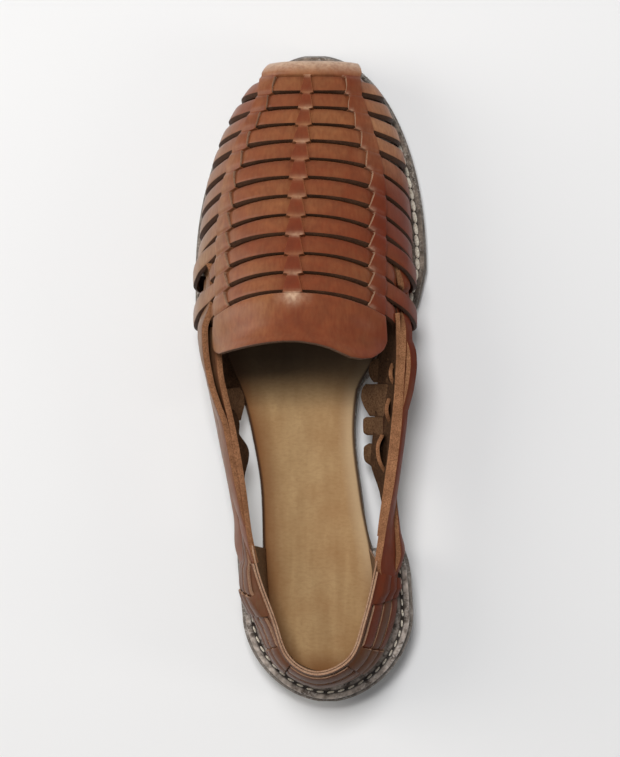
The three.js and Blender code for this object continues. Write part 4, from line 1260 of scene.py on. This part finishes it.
# %% Side straps
SIDE_COLUMNS = ("station", "low", "high", "out", "lean")
SIDE_STRAPS = {
    "lateral_strap_upper": (2.8, strap_edge, [
        (-0.22, 0.52, 0.97, -1.2, -6), (0.0, 0.52, 1.0, 0.6, -6), (0.5, 0.52, 1.0, 2.0, -6),
        (1.0, 0.52, 1.0, 7.0, -7.5), (1.7, 0.52, 1.0, 8.1, -11), (2.04, 0.52, 1.0, 8.0, -12),
        (2.5, 0.52, 1.0, 6.9, -10.5), (2.8, 0.52, 1.0, 5.8, -9.5), (3.6, 0.52, 1.0, 5.4, -6),
        (4.2, 0.6, 1.0, 4.4, -5), (4.6, 0.8, 0.97, 2.4, -4),
    ]),
    "lateral_strap_inner": (2.7, strap_edge, [
        (0.6, 0.2, 1.0, -2.0, 0), (1.2, 0.2, 1.0, 1.0, -2), (1.7, 0.2, 1.0, 2.3, -3),
        (2.0, 0.2, 1.0, 2.8, -4), (2.6, 0.2, 1.0, 2.8, -10), (2.9, 0.2, 1.0, 2.8, -12.5),
        (3.1, 0.2, 1.0, 2.8, -11), (3.45, 0.2, 1.0, 2.7, -14.5), (3.9, 0.3, 1.0, 2.7, -9),
        (4.6, 0.5, 1.0, 2.8, -3), (5.0, 0.84, 0.99, 1.9, -3),
    ]),
    # Painted shade: the lower lateral strap takes the dark cut edge, darker than the raw edges of the others.
    "lateral_strap_lower": (2.4, dark_edge, [
        (0.05, 0.05, 0.5, -2.0, 0), (0.4, 0.05, 0.5, -1.0, 0), (1.2, 0.05, 0.5, 2.4, 0),
        (1.6, 0.05, 0.5, 2.2, 0), (2.0, 0.05, 0.5, 1.4, 0), (2.6, 0.05, 0.5, 1.0, 0),
        (3.6, 0.05, 0.5, 1.4, 0), (4.4, 0.1, 0.6, 0.8, 2.2), (4.9, 0.2, 0.72, -0.8, 8),
        (5.3, 0.25, 0.7, -1.5, 8), (5.7, 0.3, 0.6, -2.5, 4),
    ]),
    "medial_strap_upper": (3.4, strap_edge, [
        (10.75, 0.5, 0.88, 4.0, 2), (11.1, 0.5, 1.0, 3.4, 1.5), (11.35, 0.47, 1.0, 3.2, -1),
        (11.6, 0.45, 1.0, 3.0, -4), (12.0, 0.5, 1.0, 3.2, -4.5), (13.0, 0.5, 1.0, 3.4, -4),
        (14.0, 0.5, 1.0, 2.6, -3), (14.9, 0.5, 1.0, 2.6, -3), (15.2, 0.4, 0.86, 0.6, -2),
        (15.42, 0.3, 0.6, -3.2, 0), (15.58, 0.3, 0.6, -3.0, 0), (15.8, 0.4, 0.88, 1.8, -2),
        (16.1, 0.4, 0.8, -0.4, -2), (16.45, 0.4, 0.8, -2.4, -2),
    ]),
    "medial_strap_inner": (2.0, strap_edge, [
        (11.4, 0.8, 0.95, 0.5, -4), (11.85, 0.3, 0.95, 0.5, -8.5), (12.4, 0.12, 0.96, 0.7, -14),
        (12.8, 0.12, 0.96, 0.9, -14.5), (14.2, 0.1, 0.96, 0.4, -14.5), (15.3, 0.1, 0.96, 0.0, -12),
    ]),
    "medial_strap_front": (2.3, strap_edge, [
        (13.4, 0.5, 1.0, 3.0, -3), (13.8, 0.5, 1.0, 4.6, -3), (14.2, 0.5, 1.0, 5.2, -3),
        (14.5, 0.5, 0.99, 4.6, -3), (14.8, 0.5, 0.97, 2.4, -3),
    ]),
    "medial_strap_lower": (3.0, strap_edge, [
        (10.4, 0.1, 0.45, 0.5, 0), (10.65, 0.05, 0.5, 2.6, 0), (10.85, 0.05, 0.5, 5.2, 0),
        (11.1, 0.05, 0.5, 6.6, 0), (11.45, 0.05, 0.5, 5.6, -3), (11.8, 0.05, 0.5, 3.2, -4),
        (12.2, 0.05, 0.5, 1.0, -3), (13.0, 0.05, 0.5, -1.0, 0), (14.2, 0.05, 0.5, 0.4, 0),
        (15.7, 0.05, 0.5, -1.0, 0), (16.4, 0.05, 0.5, -2.4, 0),
    ]),
}
SIDE_EDGE, SIDE_ROLL, SIDE_POLISH_POWER = 0.35, 0.35, 8
SWAY, SWAY_TURN = 0.012, 2.3


def make_side_strap(name, wall, rim, table, columns=100, rows=8):
    places = dict(zip(SIDE_COLUMNS, np.array(table).T))
    low, high, out, lean = (curve(places["station"], places[key]) for key in SIDE_COLUMNS[1:])
    piece, step, lane = cut_piece(name, columns, rows)
    station = mix(places["station"][0], places["station"][-1], step / columns)
    side = np.sin((lane / rows - 0.5) * math.pi)
    up = mix(low(station), high(station), (side + 1) / 2) + SWAY * np.sin(SWAY_TURN * station)
    lift = out(station) + lean(station) * (1 - up) - SIDE_ROLL * np.abs(side) ** ROLL_POWER
    mark(piece, "edge_polish", np.abs(side) ** SIDE_POLISH_POWER)
    lay(piece, wall_lifted(station, up, lift))
    finish_piece(piece, wall, SIDE_EDGE, [strap_calf, rim, flesh_side], *WEAVE)


for name, entry in SIDE_STRAPS.items():
    make_side_strap(name, *entry)

# %% [markdown]
# ## Quarter linings
# Behind the last cross strips each side is closed by a piece that rises from the edge of the insole to
# the inside of the straps. Its dark flesh side is what is seen in the shade under the throat flap. A
# grid between those two lines, hollowed a little, hangs as a soft lining does.

# %% Quarter linings
LININGS = {
    "lateral_lining": {
        "side": "lateral", "stations": (0.0, 2.55), "lifts": (-3.4, -0.6), "in_from_edge": 0.3,
    },
    "medial_lining": {
        "side": "medial", "stations": (14.25, 16.0), "lifts": (-3.4, -3.4), "in_from_edge": 2.0,
    },
}
LINING_WALL, LINING_EDGE, LINING_TOP = 1.5, 0.3, 0.82
RAGGED = {"lateral": 0.22, "medial": 0.0}
RAGGED_TURN = 4.5
HOLLOW_IN, HOLLOW_DOWN = 4.0, 3.0


def make_lining(name, side, stations, lifts, in_from_edge, columns=40, rows=12):
    piece, step, lane = cut_piece(name, columns, rows)
    ragged = RAGGED[side] * np.sin(RAGGED_TURN * lane / rows)
    station = mix(stations[0], stations[1] - ragged, step / columns)
    top = wall_lifted(station, np.full(len(station), LINING_TOP), mix(*lifts, step / columns))
    inward = 1 if side == "lateral" else -1
    foot_x = edge_x(INSOLE_EDGE, side, top[:, 1]) - inward * in_from_edge
    foot = np.stack([foot_x, top[:, 1], welt_top(top[:, 1]) + SEAT_GAP], axis=-1)
    way = (lane / rows)[:, None]
    hollow = np.sin(way * math.pi) * np.array([-inward * HOLLOW_IN, 0, -HOLLOW_DOWN])
    lay(piece, mix(foot, top, way) + hollow)
    finish_piece(piece, LINING_WALL, LINING_EDGE, [strap_calf, dark_edge, flesh_side], *WEAVE)


for name, entry in LININGS.items():
    make_lining(name, **entry)

# %% [markdown]
# ## Waist tabs and loops
# At the waist, short tabs slope down from inside the straps toward the sole's edge and end there in the
# open, four on the medial side and one on the lateral side. Bent strip ends stand on edge between the
# medial ones. From above the tabs show their flesh sides and the bent ends show their raw edges. A tab
# is a grid between two short lines of points, its inner end and its outer end; a bent end is a grid set
# up along one short line.

# %% Tabs inside the straps
TAB_WALL, TAB_EDGE = 1.7, 0.4
TAB_LOW, TAB_HIGH, TAB_BOW = 17.5, 36.0, 1.3
WAIST_TABS = [
    {
        "name": "medial_tab_1", "y": (-2.8, 0.0, 3.0, 6.4, 8.7),
        "inner": (30.0, 28.0, 27.4, 28.2, 30.4), "outer": (36.5, 37.0, 37.5, 37.5, 37.0),
    },
    {
        "name": "medial_tab_2", "y": (-18.4, -13.6, -9.2, -5.5, -3.2),
        "inner": (28.0, 25.2, 23.9, 24.4, 26.2), "outer": (34.5, 36.0, 36.5, 36.5, 36.5),
    },
    {
        "name": "medial_tab_3", "y": (-27.1, -25.8, -22.5, -19.6, -18.6),
        "inner": (26.8, 25.2, 25.0, 25.2, 26.6), "outer": (34.5, 34.5, 34.5, 34.5, 34.5),
    },
    {
        "name": "medial_tab_4", "y": (-41.4, -39.0, -35.4, -32.6, -30.8),
        "inner": (28.7, 25.8, 25.2, 25.4, 27.8), "outer": (34.0, 34.0, 34.0, 34.0, 34.0),
    },
    {
        "name": "lateral_tab", "y": (-20.0, -16.0, -12.5, -9.0, -5.5),
        "inner": (-33.0, -31.9, -31.0, -31.4, -33.5), "outer": (-38.0, -38.5, -39.0, -39.0, -39.0),
    },
]


def make_tab(name, y, inner, outer, columns=14, rows=16):
    piece, step, lane = cut_piece(name, columns, rows)
    along = mix(y[0], y[-1], lane / rows)
    way = step / columns
    x = mix(curve(y, inner)(along), curve(y, outer)(along), way)
    z = mix(TAB_LOW, TAB_HIGH, way**TAB_BOW)
    lay(piece, np.stack([x, along, z], axis=-1))
    finish_piece(piece, TAB_WALL, TAB_EDGE, [light_suede, dark_edge, light_suede], *WEAVE)


for entry in WAIST_TABS:
    make_tab(**entry)

# %% Bent strip ends on edge
BENT_WALL, BENT_EDGE = 1.9, 0.35
BENT_TOP, BENT_HEIGHT, BENT_SAG = 47.0, 14.0, 5
BENT_ENDS = {
    "medial_bent_1": [(38.3, 6.5), (37.3, 3.0), (37.6, -0.9), (39.6, -5.0)],
    "medial_bent_2": [(36.6, -9.5), (35.4, -14.0), (35.8, -17.7), (37.2, -21.5)],
    "medial_bent_3": [(33.6, -26.0), (31.6, -30.5), (31.5, -35.0), (32.6, -39.6), (35.0, -44.0)],
}


def make_bent_end(name, plan, columns=24, rows=6):
    piece, step, lane = cut_piece(name, columns, rows)
    way = step / columns
    flat = spline(np.array(plan), way * (len(plan) - 1))
    sag = BENT_SAG * (2 * way - 1) ** 2
    z = BENT_TOP - sag - BENT_HEIGHT * (1 - lane / rows)
    lay(piece, np.column_stack([flat, z]))
    finish_piece(piece, BENT_WALL, BENT_EDGE, [flesh_side, strap_edge, flesh_side], *WEAVE)


for name, plan in BENT_ENDS.items():
    make_bent_end(name, plan)

# %% [markdown]
# ## Stitches
# A row of thick thread fastens each welt, close to the upper. One stitch is modelled from a cube, which
# Subdivision Surface rounds into a short lump of thread, and is then copied along the welt's path, each
# copy with its own mesh, and joined. A bump in the welt's finish would look flat from the side.

# %% One stitch
STITCH_LEVELS = 2


def model_stitch(length, width, height):
    bpy.ops.object.select_all(action="DESELECT")
    bpy.ops.mesh.primitive_cube_add(size=1)
    stitch = bpy.context.object
    stitch.scale = (length * MM, width * MM, height * MM)
    bpy.ops.object.transform_apply(location=False, rotation=False, scale=True)
    apply_modifier(stitch, "SUBSURF", levels=STITCH_LEVELS, render_levels=STITCH_LEVELS)
    bpy.ops.object.shade_smooth()
    return stitch


def copy_piece(pattern):
    copy = pattern.copy()
    copy.data = pattern.data.copy()
    bpy.context.collection.objects.link(copy)
    return copy


def join_pieces(name, pieces):
    bpy.ops.object.select_all(action="DESELECT")
    for piece in pieces:
        piece.select_set(True)
    bpy.context.view_layer.objects.active = pieces[0]
    bpy.ops.object.join()
    pieces[0].name = name
    pieces[0].data.name = name
    return pieces[0]


print("a stitch has", 6 * 4**STITCH_LEVELS, "faces")

# %% Sew the welts
STITCH_LIFT, STITCH_SLANT, LOOK_AHEAD = 0.15, 0.10, 0.5


def sew(name, cap_name, size, spacing, node):
    path = outline_path(SOLE_EDGE, cap_name, *WELT_ENDS[cap_name], SEAM_INSET[cap_name])
    gone = walked(path)
    count = int(gone[-1] / spacing)
    places = (np.arange(count) + 0.5) * gone[-1] / count
    pattern = model_stitch(*size)
    shape = np.empty(len(pattern.data.vertices) * 3)
    pattern.data.vertices.foreach_get("co", shape)
    shape = shape.reshape(-1, 3) / MM
    stitches = [pattern] + [copy_piece(pattern) for _ in range(count - 1)]
    for stitch, place in zip(stitches, places):
        x, y = (np.interp(place, gone, path[:, axis]) for axis in (0, 1))
        ahead = [np.interp(place + LOOK_AHEAD, gone, path[:, axis]) for axis in (0, 1)]
        angle = math.atan2(ahead[1] - y, ahead[0] - x) + STITCH_SLANT
        cosine, sine = math.cos(angle), math.sin(angle)
        turned = shape @ np.array([[cosine, sine, 0], [-sine, cosine, 0], [0, 0, 1]])
        lay(stitch, turned + np.array([x, y, float(welt_top(y)) + STITCH_LIFT]))
    seam = join_pieces(name, stitches)
    seam.data.materials.append(waxed_thread)
    own(seam, "welt_leather", node)
    print(name, "has", count, "stitches")


sew("forefoot_stitches", "toe", size=(6.6, 2.5, 1.6), spacing=5.4, node="welt_forefoot")
sew("heel_stitches", "heel", size=(3.9, 1.15, 1.1), spacing=4.8, node="welt_heel")

# %% [markdown]
# ## Floor, light and camera
# The floor is plain and pale. A wide soft light from the lateral side gives the long pale reflections
# on that flank, a weaker one fills the medial side, and a soft one overhead, kept out of reflections,
# keeps the insole bright. The camera looks down from above the medial side, at the distance that gives
# the right perspective.

# %% Floor
FLOOR_SIZE, FLOOR_DROP = 8, 0.0003
FLOOR_LOW, FLOOR_HIGH = (0.83, 0.83, 0.835), (0.86, 0.86, 0.865)


def floor_finish():
    material, tree, shader = new_finish("studio_floor", Roughness=0.9, Specular_IOR_Level=0.1)
    tone = ramp(tree, noise(tree, grain_mm=400, detail=1), (0.0, FLOOR_LOW), (1.0, FLOOR_HIGH))
    tree.links.new(tone, shader.inputs["Base Color"])
    return material


bpy.ops.object.select_all(action="DESELECT")
bpy.ops.mesh.primitive_plane_add(size=FLOOR_SIZE, location=(0, 0, -FLOOR_DROP))
floor = bpy.context.object
floor.name = "studio_floor"
floor.data.materials.append(floor_finish())
print("floor is", FLOOR_SIZE, "m wide")

# %% Lights
WARM, WHITE, AIR = (1.0, 0.95, 0.88), (1.0, 1.0, 1.0), (0.96, 0.98, 1.0, 1)
AIR_STRENGTH = 0.2


def soft_light(name, place, size, power, mirrored=True):
    bpy.ops.object.light_add(type="AREA", location=place)
    light = bpy.context.object
    light.name = name
    light.data.shape = "RECTANGLE"
    light.data.size, light.data.size_y = size
    light.data.energy = power
    light.data.color = WARM if mirrored else WHITE
    toward = -light.location
    light.rotation_euler = toward.to_track_quat("-Z", "Y").to_euler()
    light.visible_glossy = mirrored
    print(name, "gives", power, "W")


soft_light("lateral_softbox", place=(-1.3, 0.25, 0.8), size=(0.9, 1.5), power=10)
soft_light("medial_softbox", place=(1.3, -0.25, 0.8), size=(0.3, 0.5), power=1.6)
soft_light("overhead_softbox", place=(-0.15, 0.6, 1.9), size=(0.55, 0.55), power=27, mirrored=False)
world = bpy.data.worlds.new("studio_air")
world.use_nodes = True
world.node_tree.nodes["Background"].inputs["Color"].default_value = AIR
world.node_tree.nodes["Background"].inputs["Strength"].default_value = AIR_STRENGTH
bpy.context.scene.world = world
bpy.context.scene.view_settings.view_transform = "Standard"

# %% Camera
CAMERA_PLACE = np.array([55.8, 0, 1400])
CAMERA_AIM = np.array([0.3, -0.8, 15])
PIXELS_PER_MM = 2.15
IMAGE_HEIGHT = 757
SENSOR = 36
TOE_WAY = Vector((0, 1, 0))

bpy.ops.object.camera_add()
camera = bpy.context.object
camera.name = "camera"
camera.location = (CAMERA_PLACE + zero) * MM
toward = Vector((CAMERA_AIM + zero) * MM) - camera.location
right = toward.cross(TOE_WAY).normalized()
upright = right.cross(toward).normalized()
camera.rotation_euler = Matrix((right, upright, -toward.normalized())).transposed().to_euler()
view_mm = IMAGE_HEIGHT / PIXELS_PER_MM
camera.data.sensor_width = SENSOR
camera.data.lens = SENSOR * toward.length / MM / view_mm
bpy.context.scene.camera = camera
print("lens", round(camera.data.lens, 1), "mm")
